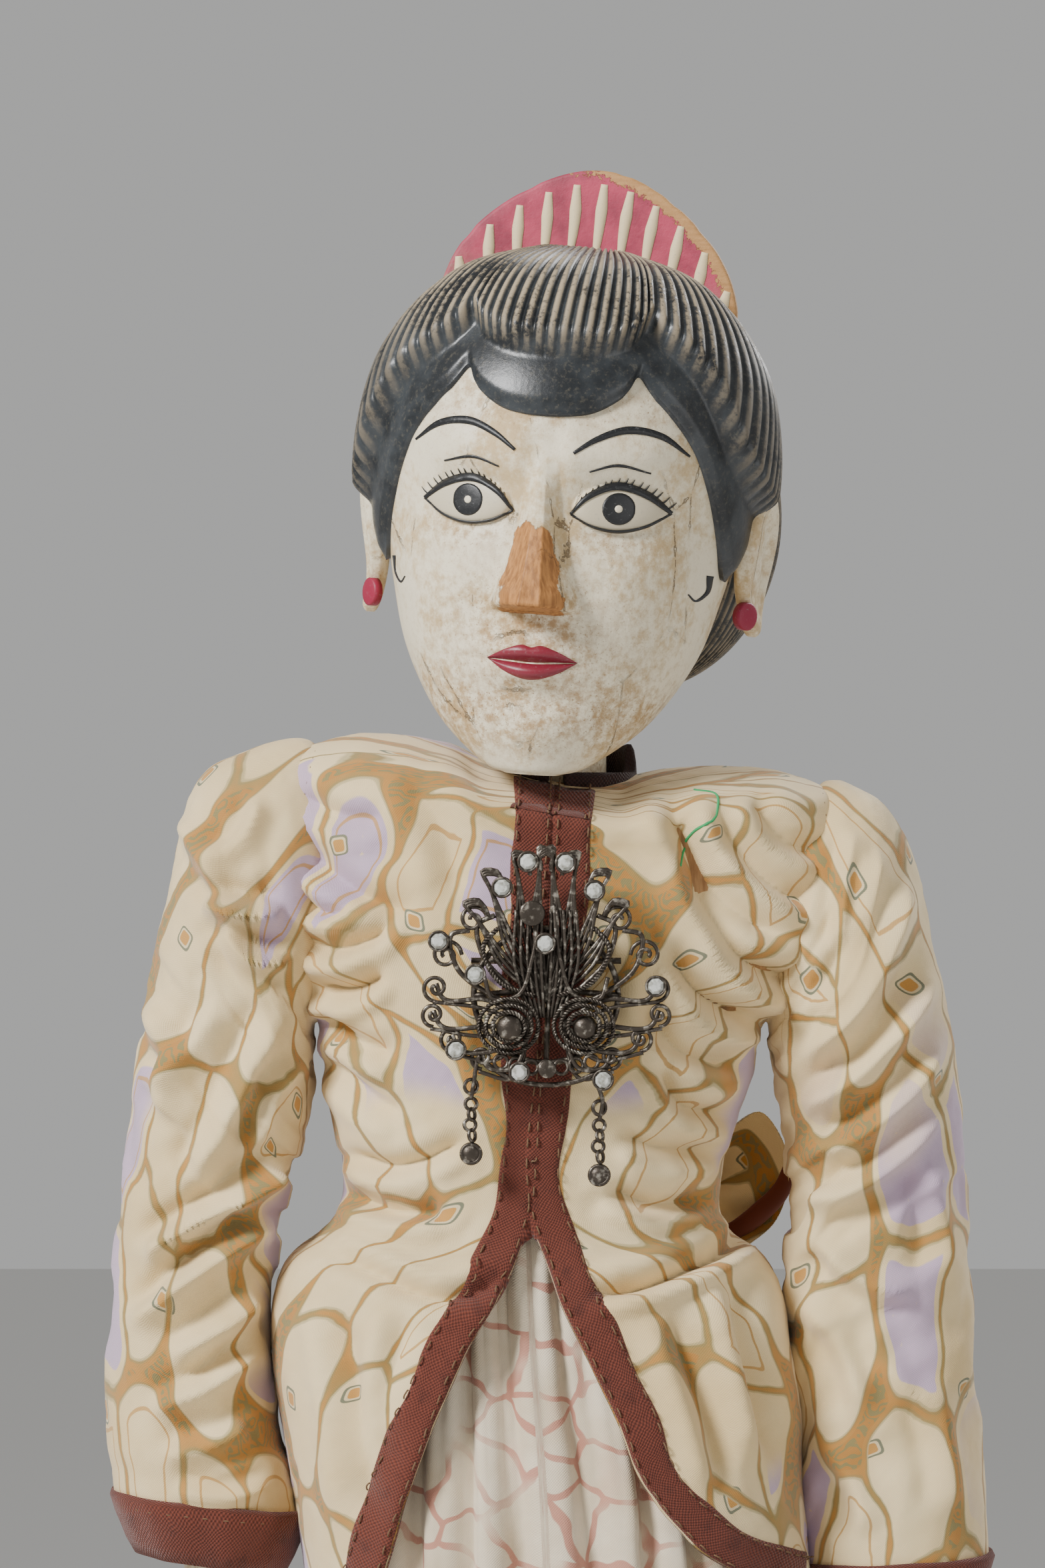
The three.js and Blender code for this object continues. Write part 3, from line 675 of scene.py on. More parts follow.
def make_head():
    """The carved block, finely sampled over the face."""
    half = np.linspace(0, 1, 230) ** 1.45 * math.pi
    azimuth = np.concatenate([-half[:0:-1], half[:-1]])
    level = np.linspace(0, len(SKULL) - 1, 330)
    points = head_surface(*np.meshgrid(azimuth, level))
    verts, faces = capped(points)
    x, z = verts[:, 0], verts[:, 2]
    obj = mesh("head", on_rod(verts), faces, PAINT, "rod", ["head_block"])
    fall = np.clip((NOSE_TOP - z) / (NOSE_TOP - NOSE_BASE), 0, 1)
    on_nose = (verts[:, 1] < -30) & (z > NOSE_BASE - 2) & (z < NOSE_TOP - 2)
    worn = on_nose * smoothstep(3.4 + 5.5 * fall, 0.4 + 3.2 * fall, np.abs(x + 0.6)) * smoothstep(49, 39, z)
    worn = np.clip(worn + 0.35 * on_nose * noise(verts, 3.0) * (worn > 0.05), 0, 1)
    paint(obj, "worn", worn)
    aged = 0.9 * bump(z, 24, 12) * bump(x, 0, 16) + 0.7 * bump(z, 8, 7) + 0.5 * bump(z, 66, 6)
    aged = aged + 0.55 * np.exp(-(((np.abs(x) - 14) / 9) ** 2) - ((z - 42) / 4) ** 2)
    paint(obj, "aged", np.clip(aged, 0, 1))
    tree = BVHTree.FromPolygons(verts.tolist(), faces)
    return tree


HEAD_TREE = make_head()


def front_of(tree, x, z, lift):
    """A point on the front of a carved form, lifted off along -Y."""
    hit = tree.ray_cast(Vector((x, -120, z)), Vector((0, 1, 0)))[0]
    return np.array([x, (hit[1] if hit else -30) - lift, z])


def ribbon(tree, points, widths, lift=0.16, sink=0.25, count=None):
    """A painted line laid on the front of a carved form, as a thin closed strip."""
    line = through(points, count or 10 * len(points))
    width = np.interp(np.linspace(0, 1, len(line)), np.linspace(0, 1, len(widths)), widths)
    along = np.gradient(line, axis=0)
    along /= np.linalg.norm(along, axis=1)[:, None] + 1e-9
    across = np.stack([-along[:, 1], along[:, 0]], axis=1) * (width / 2)[:, None]
    rings = []
    for p, d in zip(line, across):
        (ax, az), (bx, bz) = p + d, p - d
        rings.append([
            front_of(tree, ax, az, -sink), front_of(tree, ax, az, lift),
            front_of(tree, *p, lift * 1.3), front_of(tree, bx, bz, lift), front_of(tree, bx, bz, -sink),
        ])
    return capped(np.array(rings))


def patch(tree, top, bottom, lift, rise, rows=9, count=40):
    """A painted area between two outlines that meet at their ends, slightly domed."""
    upper, lower = through(top, count), through(bottom, count)
    rings = []
    for share in np.linspace(0, 1, rows):
        line = upper * (1 - share) + lower * share
        dome = lift + rise * math.sin(math.pi * share)
        rings.append([front_of(tree, x, z, dome) for x, z in line])
    outer = np.array(rings)
    inner = outer + np.array([0, lift + 0.4, 0])
    faces = grid_faces(rows, count, wrap=False).tolist()
    back = [[i + rows * count for i in f[::-1]] for f in faces]
    rim = [c for c in range(count)] + [r * count + count - 1 for r in range(1, rows)]
    rim += [(rows - 1) * count + c for c in range(count - 2, -1, -1)]
    rim += [r * count for r in range(rows - 2, 0, -1)]
    sides = []
    for i, a in enumerate(rim):
        b = rim[(i + 1) % len(rim)]
        sides.append([b, a, a + rows * count, b + rows * count])
    return np.vstack([outer.reshape(-1, 3), inner.reshape(-1, 3)]), faces + back + sides


def paint_face():
    """Brows, lids, lashes and irises in the old golek manner, with a level, calm look."""
    black, pale, white, lips = [], [], [], []
    for sign in (1, -1):
        side = lambda pts: [(sign * x, z) for x, z in pts]
        black.append(ribbon(HEAD_TREE, side([(5.5, 57.5), (9.5, 60.3), (15, 62.4), (21, 61.6), (26, 58.2)]),
            [0.6, 1.2, 1.5, 1.2, 0.4]))
        black.append(ribbon(HEAD_TREE, side([(8.5, 54.2), (13.5, 55.7), (19.5, 54.6)]), [0.3, 0.6, 0.3]))
        lid = [(5.4, 46.2), (8.5, 49.6), (13.5, 51.9), (19, 50.6), (23.4, 47.4)]
        base = [(5.4, 46.2), (9.5, 44.1), (14, 43.4), (19, 44.6), (23.4, 47.4)]
        white.append(patch(HEAD_TREE, side(lid), side(base), 0.1, 0.15))
        black.append(ribbon(HEAD_TREE, side(lid), [0.5, 1.2, 1.5, 1.4, 0.7], lift=0.42))
        black.append(ribbon(HEAD_TREE, side(base), [0.4, 0.5, 0.6, 0.5, 0.4], lift=0.3))
        for k in range(15):
            t = k / 14
            root = np.array(through(lid, 60)[int(6 + 50 * t)])
            tip = root + np.array([0.5 + 1.1 * t, 1.7 - 0.3 * t])
            black.append(ribbon(HEAD_TREE, side([root, (root + tip) / 2 + [0.12, 0], tip]),
                [0.34, 0.26, 0.08], lift=0.3, count=6))
        black.append(disc(HEAD_TREE, sign * 14.2, 47.7, 3.0, 0.34))
        pale.append(disc(HEAD_TREE, sign * 14.2, 47.7, 0.75, 0.46))
        black.append(ribbon(HEAD_TREE, side([(30.2, 36), (29.6, 32.5), (28.0, 31.2), (26.9, 32.4)]),
            [1.1, 0.7, 0.5, 0.25], lift=0.2))
    lips.append(patch(HEAD_TREE,
        [(-8.6, 18.6), (-4.2, 20.8), (-1.5, 21.5), (0, 21.1), (1.5, 21.5), (4.2, 20.8), (8.6, 18.6)],
                      [(-8.6, 18.6), (-4, 18.5), (0, 18.3), (4, 18.5), (8.6, 18.6)], 0.12, 0.25))
    lips.append(patch(HEAD_TREE, [(-8.4, 18.5), (-4, 18.2), (0, 18.0), (4, 18.2), (8.4, 18.5)],
                      [(-8.4, 18.5), (-5, 16.4), (0, 15.0), (5, 16.4), (8.4, 18.5)], 0.12, 0.35))
    for name, parts, material in (
        ("eye_ground", white, EYE), ("painted_lines", black, BLACK),
        ("pupil_dots", pale, PALE), ("lips", lips, LIPS),
    ):
        verts, faces = joined(parts)
        mesh(name, on_rod(verts), faces, material, "rod")


def disc(tree, x, z, radius, lift, count=26):
    turn = np.linspace(0, 2 * np.pi, count, endpoint=False)
    rings = []
    for r, up in ((1, -0.3), (1, 0.7), (0.85, 1.0), (0.35, 1.15)):
        height = lift * up
        rings.append([front_of(tree, x + radius * r * math.cos(t), z + radius * r * math.sin(t),
            height) for t in turn])
    return capped(np.array(rings), flip=False)


paint_face()


def make_neck():
    """The block's neck, and its cut end in the torso's socket."""
    low = node_box("head_block")[0][2]
    rings = []
    turn = np.linspace(0, 2 * np.pi, 48, endpoint=False)
    for z in np.linspace(low, HEAD_CHIN + 26, 30):
        radius = 11 + 2.2 * smoothstep(HEAD_CHIN + 4, HEAD_CHIN + 22, z)
        rings.append(np.stack([radius * np.cos(turn), radius * np.sin(turn), np.full(48, z)], axis=1))
    rings = np.array(rings)
    rings[..., 0] += 0.25 * noise(rings, 8)
    verts, faces = capped(rings)
    obj = mesh("neck", verts, faces, PAINT, "rod")
    paint(obj, "worn", np.zeros(len(verts)))
    paint(obj, "aged", np.full(len(verts), 0.5))


make_neck()

HAIR_ANGLES = [0, 8, 15, 21, 26, 30, 33, 40, 50, 58, 66, 73, 79, 86, 97, 108, 118, 140, 180]
HAIR_HEIGHTS = [63.5, 63.8, 64.8, 66.8, 69.3, 71.8, 69.6, 65.2, 58.5, 50.5, 42.5, 37.0, 35, 38.5, 45, 41, 30,
    20, 15]
POLE = np.array([2.0, 17.0, 88.0])  # where the combed hair meets, under the board
HEAD_MIDDLE = np.array([0.0, 2.0, 54.0])


def skull_radius():
    """A tree of the plain skull, to lay hair on."""
    azimuth = np.linspace(0, 2 * math.pi, 160, endpoint=False)
    level = np.linspace(0, len(SKULL) - 1, 150)
    verts, faces = capped(skull_point(*np.meshgrid(azimuth, level)))
    return BVHTree.FromPolygons(verts.tolist(), faces)


SKULL_TREE = skull_radius()


def skull_hit(direction):
    d = Vector(direction).normalized()
    hit = SKULL_TREE.ray_cast(Vector(HEAD_MIDDLE), d)[0]
    return np.array(hit) if hit else HEAD_MIDDLE + np.array(d) * 30


def hairline(azimuth):
    """The hair's lower edge at an azimuth in radians from the front."""
    height = float(curve(HAIR_ANGLES, HAIR_HEIGHTS, math.degrees(abs(azimuth))))
    rows = np.arange(len(SKULL))
    level = np.interp(height, SKULL[:, 0], rows)
    return skull_point(np.array([azimuth]), np.array([level]))[0]


def make_hair():
    """Hair drawn back in combed grooves from a smooth front band to under the board."""
    cols, rows, locks = 1080, 96, 104
    azimuths = np.linspace(-math.pi, math.pi, cols, endpoint=False)
    pole = POLE - HEAD_MIDDLE
    pole /= np.linalg.norm(pole)
    share = np.linspace(0, 1, rows) ** 1.25
    grid = np.zeros((rows, cols, 3))
    ridge = np.zeros((rows, cols))
    for c, azimuth in enumerate(azimuths):
        start = hairline(azimuth) - HEAD_MIDDLE
        start = start / np.linalg.norm(start)
        angle = math.acos(np.clip(np.dot(start, pole), -1, 1))
        for r, t in enumerate(share):
            d = (math.sin((1 - t) * angle) * start + math.sin(t * angle) * pole) / math.sin(angle)
            grid[r, c] = d
    flat = grid.reshape(-1, 3)
    base = np.array([skull_hit(d) for d in flat]).reshape(rows, cols, 3)
    t = share[:, None]
    front = smoothstep(2.2, 1.0, np.abs(azimuths))[None, :]
    band = 0.16 + 0.05 * noise(np.stack([azimuths * 6, azimuths * 0, azimuths * 0 + 3], -1), 2.0)[None, :]
    roll = smoothstep(band - 0.02, band + 0.05, t)
    wander = 0.5 * noise(np.stack(np.broadcast_arrays(azimuths[None, :] * 9, t * 5, t * 0), -1), 1.3)
    phase = azimuths[None, :] * locks + wander * 1.4
    groove = np.abs(np.sin(phase / 2)) ** 0.7
    thick = 1.0 + 0.9 * smoothstep(0, 0.05,
        t) + roll * (2.6 + 1.0 * front) * (1 - 0.35 * smoothstep(0.45, 1, t))
    fade = 1 - smoothstep(0.8, 1.0, t)
    thick = thick + roll * fade * 1.0 * (groove - 0.6)
    sides = bump(np.abs(azimuths), 1.55, 0.5)[None, :]
    thick = thick + 0.8 * sides * smoothstep(0.0, 0.12, t) * smoothstep(0.75, 0.3, t)
    thick = thick + 0.3 * noise(base, 14)
    thick[0] = -0.8
    points = base + grid * thick[..., None]
    ridge[:] = roll * smoothstep(0.72, 0.95,
        groove) * (0.35 + 0.65 * smoothstep(70, 84, base[..., 2])) * front
    ridge += 0.5 * smoothstep(0.72, 0.95, groove) * roll * (1 - front)
    verts, faces = capped(points)
    obj = mesh("hair", on_rod(verts), faces, HAIR, "rod")
    paint(obj, "ridge", np.concatenate([ridge.ravel(), [0, 0]]))


make_hair()


def make_knot():
    """The back knot, a flattened egg with upright grooves."""
    cols, rows, locks = 720, 90, 84
    centre, radii = np.array([5.0, 26.0, 45.0]), np.array([34.0, 19.0, 34.0])
    turn = np.linspace(0, 2 * math.pi, cols, endpoint=False)[None, :]
    lift = np.linspace(-math.pi / 2 + 0.03, math.pi / 2 - 0.03, rows)[:, None]
    groove = np.abs(np.sin(turn * locks / 2 + 0.8 * np.sin(lift * 2))) ** 0.7 * np.ones_like(lift)
    grown = 1 + 0.026 * (groove - 0.5) * np.cos(lift) ** 0.4
    power = 0.85
    x = np.sign(np.cos(turn)) * np.abs(np.cos(turn)) ** power
    y = np.sign(np.sin(turn)) * np.abs(np.sin(turn)) ** power
    cosine = np.cos(lift) ** power
    points = np.stack(
        [x * cosine * grown * radii[0], y * cosine * grown * radii[1], np.sin(lift) * grown * radii[2]], -1
    ) + centre
    verts, faces = capped(points)
    obj = mesh("back_knot", on_rod(verts), faces, HAIR, "rod")
    ridge = 0.55 * smoothstep(0.75, 0.97, groove) * np.ones_like(lift)
    paint(obj, "ridge", np.concatenate([np.broadcast_to(ridge, (rows, cols)).ravel(), [0, 0]]))


make_knot()


def make_ears():
    """Flat carved ears with a rim, a hollow and a crimson stud painted on the lobe."""
    parts, dots = [], []
    for sign in (1, -1):
        rows, cols = 40, 60
        v = np.linspace(-math.pi / 2 + 0.02, math.pi / 2 - 0.02, rows)[:, None]
        u = np.linspace(0, 2 * math.pi, cols, endpoint=False)[None, :]
        high = np.sin(v) * np.ones_like(u)
        wide = (6.8 + 1.8 * high - 1.2 * high**2) * np.cos(v)
        y = 3.5 + wide * np.cos(u) * -1.0 - 2.2 * high
        z = 39 + 14.5 * high
        out = 2.6 * np.cos(v) * np.sin(u)
        rim = 1 - ((y - 3.5 + 2.2 * high) / 6.8) ** 2 - high**2
        out = np.where(out > 0, out + 1.1 * smoothstep(0.55, 0.1, rim) - 1.3 * smoothstep(0.35, 0.8, rim),
            out)
        x = sign * (34.3 + out + 2.0 * smoothstep(-0.4, 1, high) + 0.22 * (y + 4).clip(0))
        verts, faces = capped(np.stack([x * np.ones_like(y), y, z * np.ones_like(y)], -1), flip=sign < 0)
        parts.append((verts, faces))
        centre = np.array([sign * 36.6, -0.5, 28.5])
        dots.append(lathe([(2.7, -1.6), (2.7, -0.1), (2.3, 0.1), (0.7, 0.15)], centre, (sign, -0.75, 0), 22))
    verts, faces = joined(parts)
    obj = mesh("ears", on_rod(verts), faces, PAINT, "rod")
    paint(obj, "worn", np.zeros(len(verts)))
    paint(obj, "aged", np.full(len(verts), 0.25))
    verts, faces = joined(dots)
    mesh("ear_studs", on_rod(verts), faces, DOT, "rod")


make_ears()

COMB_HALF, COMB_RISE, COMB_FOOT, COMB_BACK, COMB_DEPTH, COMB_ROLL = 29.5, 32.0, 80.0, 15.0, 3.0, 4.0


def comb_edge(count):
    angle = np.linspace(0, math.pi, count)
    x = COMB_HALF * np.cos(angle)
    z = COMB_RISE * np.sin(angle) ** 0.85 * (0.9 + 0.1 * np.sin(angle) ** 6)
    return x, z


def rolled(points):
    """The board's own frame, foot at zero, into the head's frame."""
    turn = math.radians(COMB_ROLL)
    p = np.asarray(points, float)
    x = p[..., 0] * math.cos(turn) + p[..., 2] * math.sin(turn)
    z = -p[..., 0] * math.sin(turn) + p[..., 2] * math.cos(turn) + COMB_FOOT
    return np.stack([x, p[..., 1] + COMB_BACK, z], -1)


def make_comb():
    """A thin fan-shaped board with softened edges and cream stripes painted up its face."""
    count, rings = 120, []
    ex, ez = comb_edge(count)
    outline = np.vstack([
        np.stack([ex, ez], 1),
        np.stack([np.linspace(-COMB_HALF, COMB_HALF, 60)[1:-1], np.full(58, -8.0)], 1),
    ])
    normal = np.stack([np.gradient(outline[:, 1]), -np.gradient(outline[:, 0])], 1)
    normal /= np.linalg.norm(normal, axis=1)[:, None] + 1e-9
    section = [(0.0, 0.7), (0.12, 0.25), (0.45, 0.0), (COMB_DEPTH - 0.45, 0.0), (COMB_DEPTH - 0.12, 0.25),
        (COMB_DEPTH, 0.7)]
    chips = 0.35 * (noise(np.c_[outline * 0.9, outline[:, :1] * 0], 3.0) - 0.2).clip(0)
    face_scales = (0.55, 0.8, 0.93)

    def layer(depth, inset, scale=1.0):
        p = outline * scale - normal * (inset + chips)[:, None]
        return np.c_[p[:, 0], np.full(len(p), depth), p[:, 1]]

    for scale in face_scales:
        rings.append(layer(0.0, 0.7, scale))
    for depth, inset in section:
        rings.append(layer(depth, inset))
    for scale in face_scales[::-1]:
        rings.append(layer(COMB_DEPTH, 0.7, scale))
    rings = np.array(rings)
    verts, faces = capped(rings, flip=False)
    obj = mesh("comb_board", on_rod(rolled(verts)), faces, COMB_PAINT, "rod", ["crown_comb"])
    rim = np.zeros(rings.shape[:2])
    rim[3:-3] = 1.0
    rim[2] = 0.55
    rim *= (0.45 + 0.55 * smoothstep(-14, 12, rings[..., 0]))
    paint(obj, "edge", np.concatenate([rim.ravel(), [0, 0]]))
    paint(obj, "dust", smoothstep(16, 2, verts[:, 2]))
    tree = BVHTree.FromPolygons(verts.tolist(), faces)
    stripes = []
    for k in range(11):
        spread = (k - 5) / 5
        foot_x, top_x = spread * 24.5, spread * 26.3
        angle = math.acos(np.clip(top_x / COMB_HALF, -1, 1))
        top = COMB_RISE * math.sin(angle) ** 0.85 * (0.9 + 0.1 * math.sin(angle) ** 6) - 2.6
        low = max(4.0, top - 15 + 3 * abs(spread))
        wave = 0.25 * math.sin(5.1 * k)
        stripes.append(ribbon(tree,
            [(top_x, top), ((foot_x + top_x) / 2 + wave, (top + low) / 2), (foot_x, low)], [1.3, 2.3, 1.8,
                1.0], lift=0.09, sink=0.1, count=24))
    sv, sf = joined(stripes)
    mesh("comb_stripes", on_rod(rolled(sv)), sf, STRIPE, "rod")


make_comb()


# ---------------------------------------------------------------- cloth that is draped


def resample(grid, rows, cols, wrap):
    """A smooth finer or coarser copy of a grid of points."""
    grid = curve(np.arange(len(grid)), grid, np.linspace(0, len(grid) - 1, rows))
    side = np.swapaxes(grid, 0, 1)
    count = len(side)
    if wrap:
        side = np.concatenate([side[-3:], side, side[:3]])
        at = 3 + np.arange(cols) * count / cols
    else:
        at = np.linspace(0, count - 1, cols)
    return np.swapaxes(curve(np.arange(len(side)), side, at), 0, 1)


def grid_normals(grid, wrap):
    """Unit normals of a grid, on the right-hand side of rows x columns."""
    along = np.gradient(grid, axis=0)
    if wrap:
        across = (np.roll(grid, -1, 1) - np.roll(grid, 1, 1)) / 2
    else:
        across = np.gradient(grid, axis=1)
    n = np.cross(along, across)
    return n / (np.linalg.norm(n, axis=-1, keepdims=True) + 1e-9)


def smoothed(field, wrap, rounds):
    for _ in range(rounds):
        if wrap:
            field = (np.roll(field, 1, 1) + np.roll(field, -1, 1) + 2 * field) / 4
        else:
            field = np.concatenate([field[:, :1], (field[:, :-2] + field[:, 2:] + 2 * field[:, 1:-1]) / 4,
                field[:, -1:]], 1)
        field = np.concatenate([field[:1], (field[:-2] + field[2:] + 2 * field[1:-1]) / 4, field[-1:]], 0)
    return field


THREADS = ((1, 0, 1.0), (0, 1, 1.0), (1, 1, 0.45), (1, -1, 0.45), (2, 0, 0.35), (0, 2, 0.35))


def pairs(pos, dr, dc, wrap):
    """The two ends of every thread that runs dr rows and dc columns."""
    rows, cols = pos.shape[:2]
    a, b = pos[: rows - dr], pos[dr:]
    if wrap:
        return a, np.roll(b, -dc, 1)
    if dc >= 0:
        return a[:, : cols - dc], b[:, dc:]
    return a[:, -dc:], b[:, :dc]


def add_back(total, part, dr, dc, wrap, first):
    rows, cols = total.shape[:2]
    if wrap:
        if first:
            total[: rows - dr] += part
        else:
            total[dr:] += np.roll(part, dc, 1)
    elif dc >= 0:
        total[(slice(0, rows - dr), slice(0, cols - dc)) if first else (slice(dr, rows),
            slice(dc, cols))] += part
    else:
        total[(slice(0, rows - dr), slice(-dc, cols)) if first else (slice(dr, rows),
            slice(0, cols + dc))] += part


def relax(pos, target, wrap, slack, rounds, hold, reach, free, stiffness):
    """Lets threads that are longer than the form they cover push the cloth into folds."""
    along, across, shear = slack
    normals = grid_normals(target, wrap)
    threads = [(dr, dc, stiff if max(dr, abs(dc)) == 1 else stiffness) for dr, dc, stiff in THREADS]
    rests = []
    for dr, dc, stiff in threads:
        a, b = pairs(target, dr, dc, wrap)
        length = np.linalg.norm(b - a, axis=-1)
        ga, gb = pairs(along, dr, dc, wrap)[0], pairs(across, dr, dc, wrap)[0]
        lean = pairs(shear, dr, dc, wrap)[0] * (dc if dr == 1 and dc else 0)
        grown = (dr * ga + abs(dc) * gb) / (dr + abs(dc)) * (1 + lean)
        rests.append(length * grown)
    for step in range(rounds):
        push = np.zeros_like(pos)
        weight = np.zeros(pos.shape[:2] + (1,))
        for (dr, dc, stiff), rest in zip(threads, rests):
            a, b = pairs(pos, dr, dc, wrap)
            d = b - a
            length = np.linalg.norm(d, axis=-1)
            move = (0.5 * stiff * (length - rest) / (length + 1e-9))[..., None] * d
            share = np.full(length.shape + (1,), stiff)
            for sign, first in ((1, True), (-1, False)):
                add_back(push, move * sign, dr, dc, wrap, first)
                add_back(weight, share, dr, dc, wrap, first)
        pos = pos + 1.6 * push / (weight + 1e-9) * free
        away = pos - target
        if step % 4 == 3:
            away = away - hold * smoothed(away, wrap, 12)
        out = np.sum(away * normals, -1, keepdims=True)
        kept = np.where(out > 0, reach[1] * np.tanh(out / reach[1]), reach[0] * np.tanh(out / reach[0]))
        slide = away - out * normals
        pos = target + (kept * normals + slide * 0.985) * free
    return pos


def drape(base, wrap, levels, along, across, shear, hold=0.12, reach=(3.0, 4.5), free=None, seed=0,
    start=0.8):
    """Drapes a grid in steps from coarse to fine, so that broad folds form before creases.

    Each level is (rows, columns, rounds, bending stiffness, share of the extra length).
    along, across and shear take (row share, column share) and give the extra thread length."""
    away = None
    for rows, cols, rounds, stiffness, share in levels:
        target = resample(base, rows, cols, wrap)
        v, u = np.meshgrid(np.linspace(0, 1, rows), np.linspace(0, 1, cols, endpoint=not wrap), indexing="ij")
        slack = [1 + share * along(v, u), 1 + share * across(v, u), share * shear(v, u)]
        loose = np.ones((rows, cols, 1)) if free is None else free(v, u)[..., None]
        if away is None:
            away = grid_normals(target, wrap) * (start * noise(target + 31 * seed, 16.0))[..., None]
        else:
            away = resample(away, rows, cols, wrap)
        pos = relax(target + away * loose, target, wrap, slack, rounds, hold, reach, loose, stiffness)
        away = pos - target
    return pos, target


def declare_sheet(grid, wrap):
    """Measures a sheet's longest threads on the draped grid, across and along."""
    across = np.diff(np.concatenate([grid, grid[:, :1]], 1) if wrap else grid, axis=1)
    along = np.diff(grid, axis=0)
    width = np.linalg.norm(across, axis=-1).sum(1).max() * MM
    length = np.linalg.norm(along, axis=-1).sum(0).max() * MM


def cloth_piece(name, grid, uv, material, body, thickness, wrap, replaces=(), normals=None, blend=None):
    """A sheet with two faces and closed edges, from a grid of outer points."""
    if normals is None:
        normals = grid_normals(grid, wrap)
    rows, cols = grid.shape[:2]
    inner = grid - normals * thickness
    verts = np.vstack([grid.reshape(-1, 3), inner.reshape(-1, 3)])
    faces = grid_faces(rows, cols, wrap, flip=True).tolist()
    total = rows * cols
    faces += (grid_faces(rows, cols, wrap) + total).tolist()
    faces += rim_faces(rows, cols, wrap, total)
    both_uv = np.vstack([uv.reshape(-1, 2), uv.reshape(-1, 2)])
    obj = mesh(name, verts, faces, material, None, replaces, both_uv)
    shading = np.vstack([normals.reshape(-1, 3), -normals.reshape(-1, 3)])
    obj.data.normals_split_custom_set_from_vertices(shading.tolist())
    if blend:
        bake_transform(obj)
    else:
        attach(obj, body)
    declare_sheet(grid, wrap)
    return obj


def rim_faces(rows, cols, wrap, total):
    """Faces that join the outer and inner grids of a sheet along its free edges."""
    faces = []
    span = cols if wrap else cols - 1
    last = (rows - 1) * cols
    for c in range(span):
        n = (c + 1) % cols
        faces.append([c, c + total, n + total, n][::-1])
        faces.append([last + c, last + n, last + n + total, last + c + total][::-1])
    if not wrap:
        for r in range(rows - 1):
            a, b = r * cols, (r + 1) * cols
            faces.append([a, b, b + total, a + total][::-1])
            a, b = a + cols - 1, b + cols - 1
            faces.append([a, a + total, b + total, b][::-1])
    return faces


def arc_uv(grid):
    """The cloth's own coordinates: millimetres along its threads."""
    across = np.linalg.norm(np.diff(grid, axis=1), axis=-1)
    across = np.concatenate([np.zeros((len(grid), 1)), np.cumsum(across, 1)], 1)
    across = across - across.mean(1, keepdims=True)
    along = np.linalg.norm(np.diff(grid, axis=0), axis=-1)
    along = np.concatenate([np.zeros((1, grid.shape[1])), np.cumsum(along, 0)], 0)
    return np.stack([across, np.broadcast_to(along.mean(1, keepdims=True), along.shape)], -1)


FOLD_HEIGHT = 1.9  # every drawn fold's height is multiplied by this


def creased(points, creases, front):
    """How far drawn folds lift each point; front is 1 where they apply."""
    total = np.zeros(points.shape[:-1])
    for line, width, height in creases:
        path = through(line, 24)
        best = np.full(total.shape, 1e9)
        side = np.zeros(total.shape)
        taper = np.zeros(total.shape)
        for k in range(len(path) - 1):
            a, d = path[k], path[k + 1] - path[k]
            px, pz = points[..., 0] - a[0], points[..., 2] - a[1]
            t = np.clip((px * d[0] + pz * d[1]) / (d @ d + 1e-9), 0, 1)
            away = np.hypot(px - t * d[0], pz - t * d[1])
            near = away < best
            best = np.where(near, away, best)
            side = np.where(near, np.sign(px * d[1] - pz * d[0]), side)
            taper = np.where(near, (k + t) / (len(path) - 1), taper)
        signed = best * side / width
        crest = np.exp(-np.abs(signed * 1.15) ** 1.5)
        shape = crest - 0.62 * np.exp(-((signed - 1.55) ** 2) * 1.6) - 0.3 * np.exp(-((signed + 1.8) ** 2))
        ends = smoothstep(0, 0.22, taper) * smoothstep(1, 0.78, taper) * smoothstep(4.5 * width, 2.5 * width,
            best)
        total += height * shape * ends
    return total * front


# ---------------------------------------------------------------- sleeves

# Outer and inner edge of each sleeve as (x, z), from the armhole to the cuff, and half its depth.
SLEEVE = {
    "right": (
        [(-42, 526), (-46, 529), (-52, 529), (-58.5, 527), (-64.5, 524), (-68.3, 519), (-70.5, 511),
            (-72.8, 500),
         (-75, 489), (-77, 478), (-78.8, 467), (-80, 455), (-81.5, 443), (-83, 430), (-84.3, 415), (-84.3,
             399), (-83, 385)],
        [(-40, 481), (-43.5, 477.5), (-44.2, 475.5), (-44.7, 473.5), (-45, 471), (-45, 468), (-45, 464),
            (-45.6, 459),
         (-46.9, 453.5), (-48.7, 448), (-50.3, 441), (-51.6, 434), (-52.6, 425), (-52.8, 413), (-51.6,
             401), (-49, 390), (-46.5, 381)],
    ),
    "left": (
        [(48, 518), (53.5, 521.3), (58.5, 520.3), (63.5, 517.5), (67.5, 512), (70, 506), (72, 498),
            (73.8, 489),
         (75.8, 480), (77.5, 470), (78.7, 459), (79.5, 447), (80.2, 435), (80.8, 421), (81.8, 407), (83,
             391), (84.3, 373)],
        [(37, 480), (41, 477), (41.5, 475.5), (41.9, 473.5), (42.3, 471), (42.8, 467.5), (43.5, 463),
            (44.4, 457.5),
         (45.3, 451), (45.9, 444), (45.8, 436.5), (45.2, 429), (44.9, 419), (45.5, 408), (46.7, 396), (47.6,
             384), (48, 371)],
    ),
}
SLEEVE_DEPTH = [11, 14, 17, 18.6, 19.2, 19.2, 18.8, 18.2, 17.6, 17, 16.5, 16, 15.8, 16, 16.4, 16.6, 16.4]
SLEEVE_ROWS, SLEEVE_COLS = 170, 128
SHOULDER_END, RAISE_END, TWIST_END, BEND_END = 8.0, 9.4, 10.4, 12.4  # control rows where the sleeve is cut, one for each joint of the arm
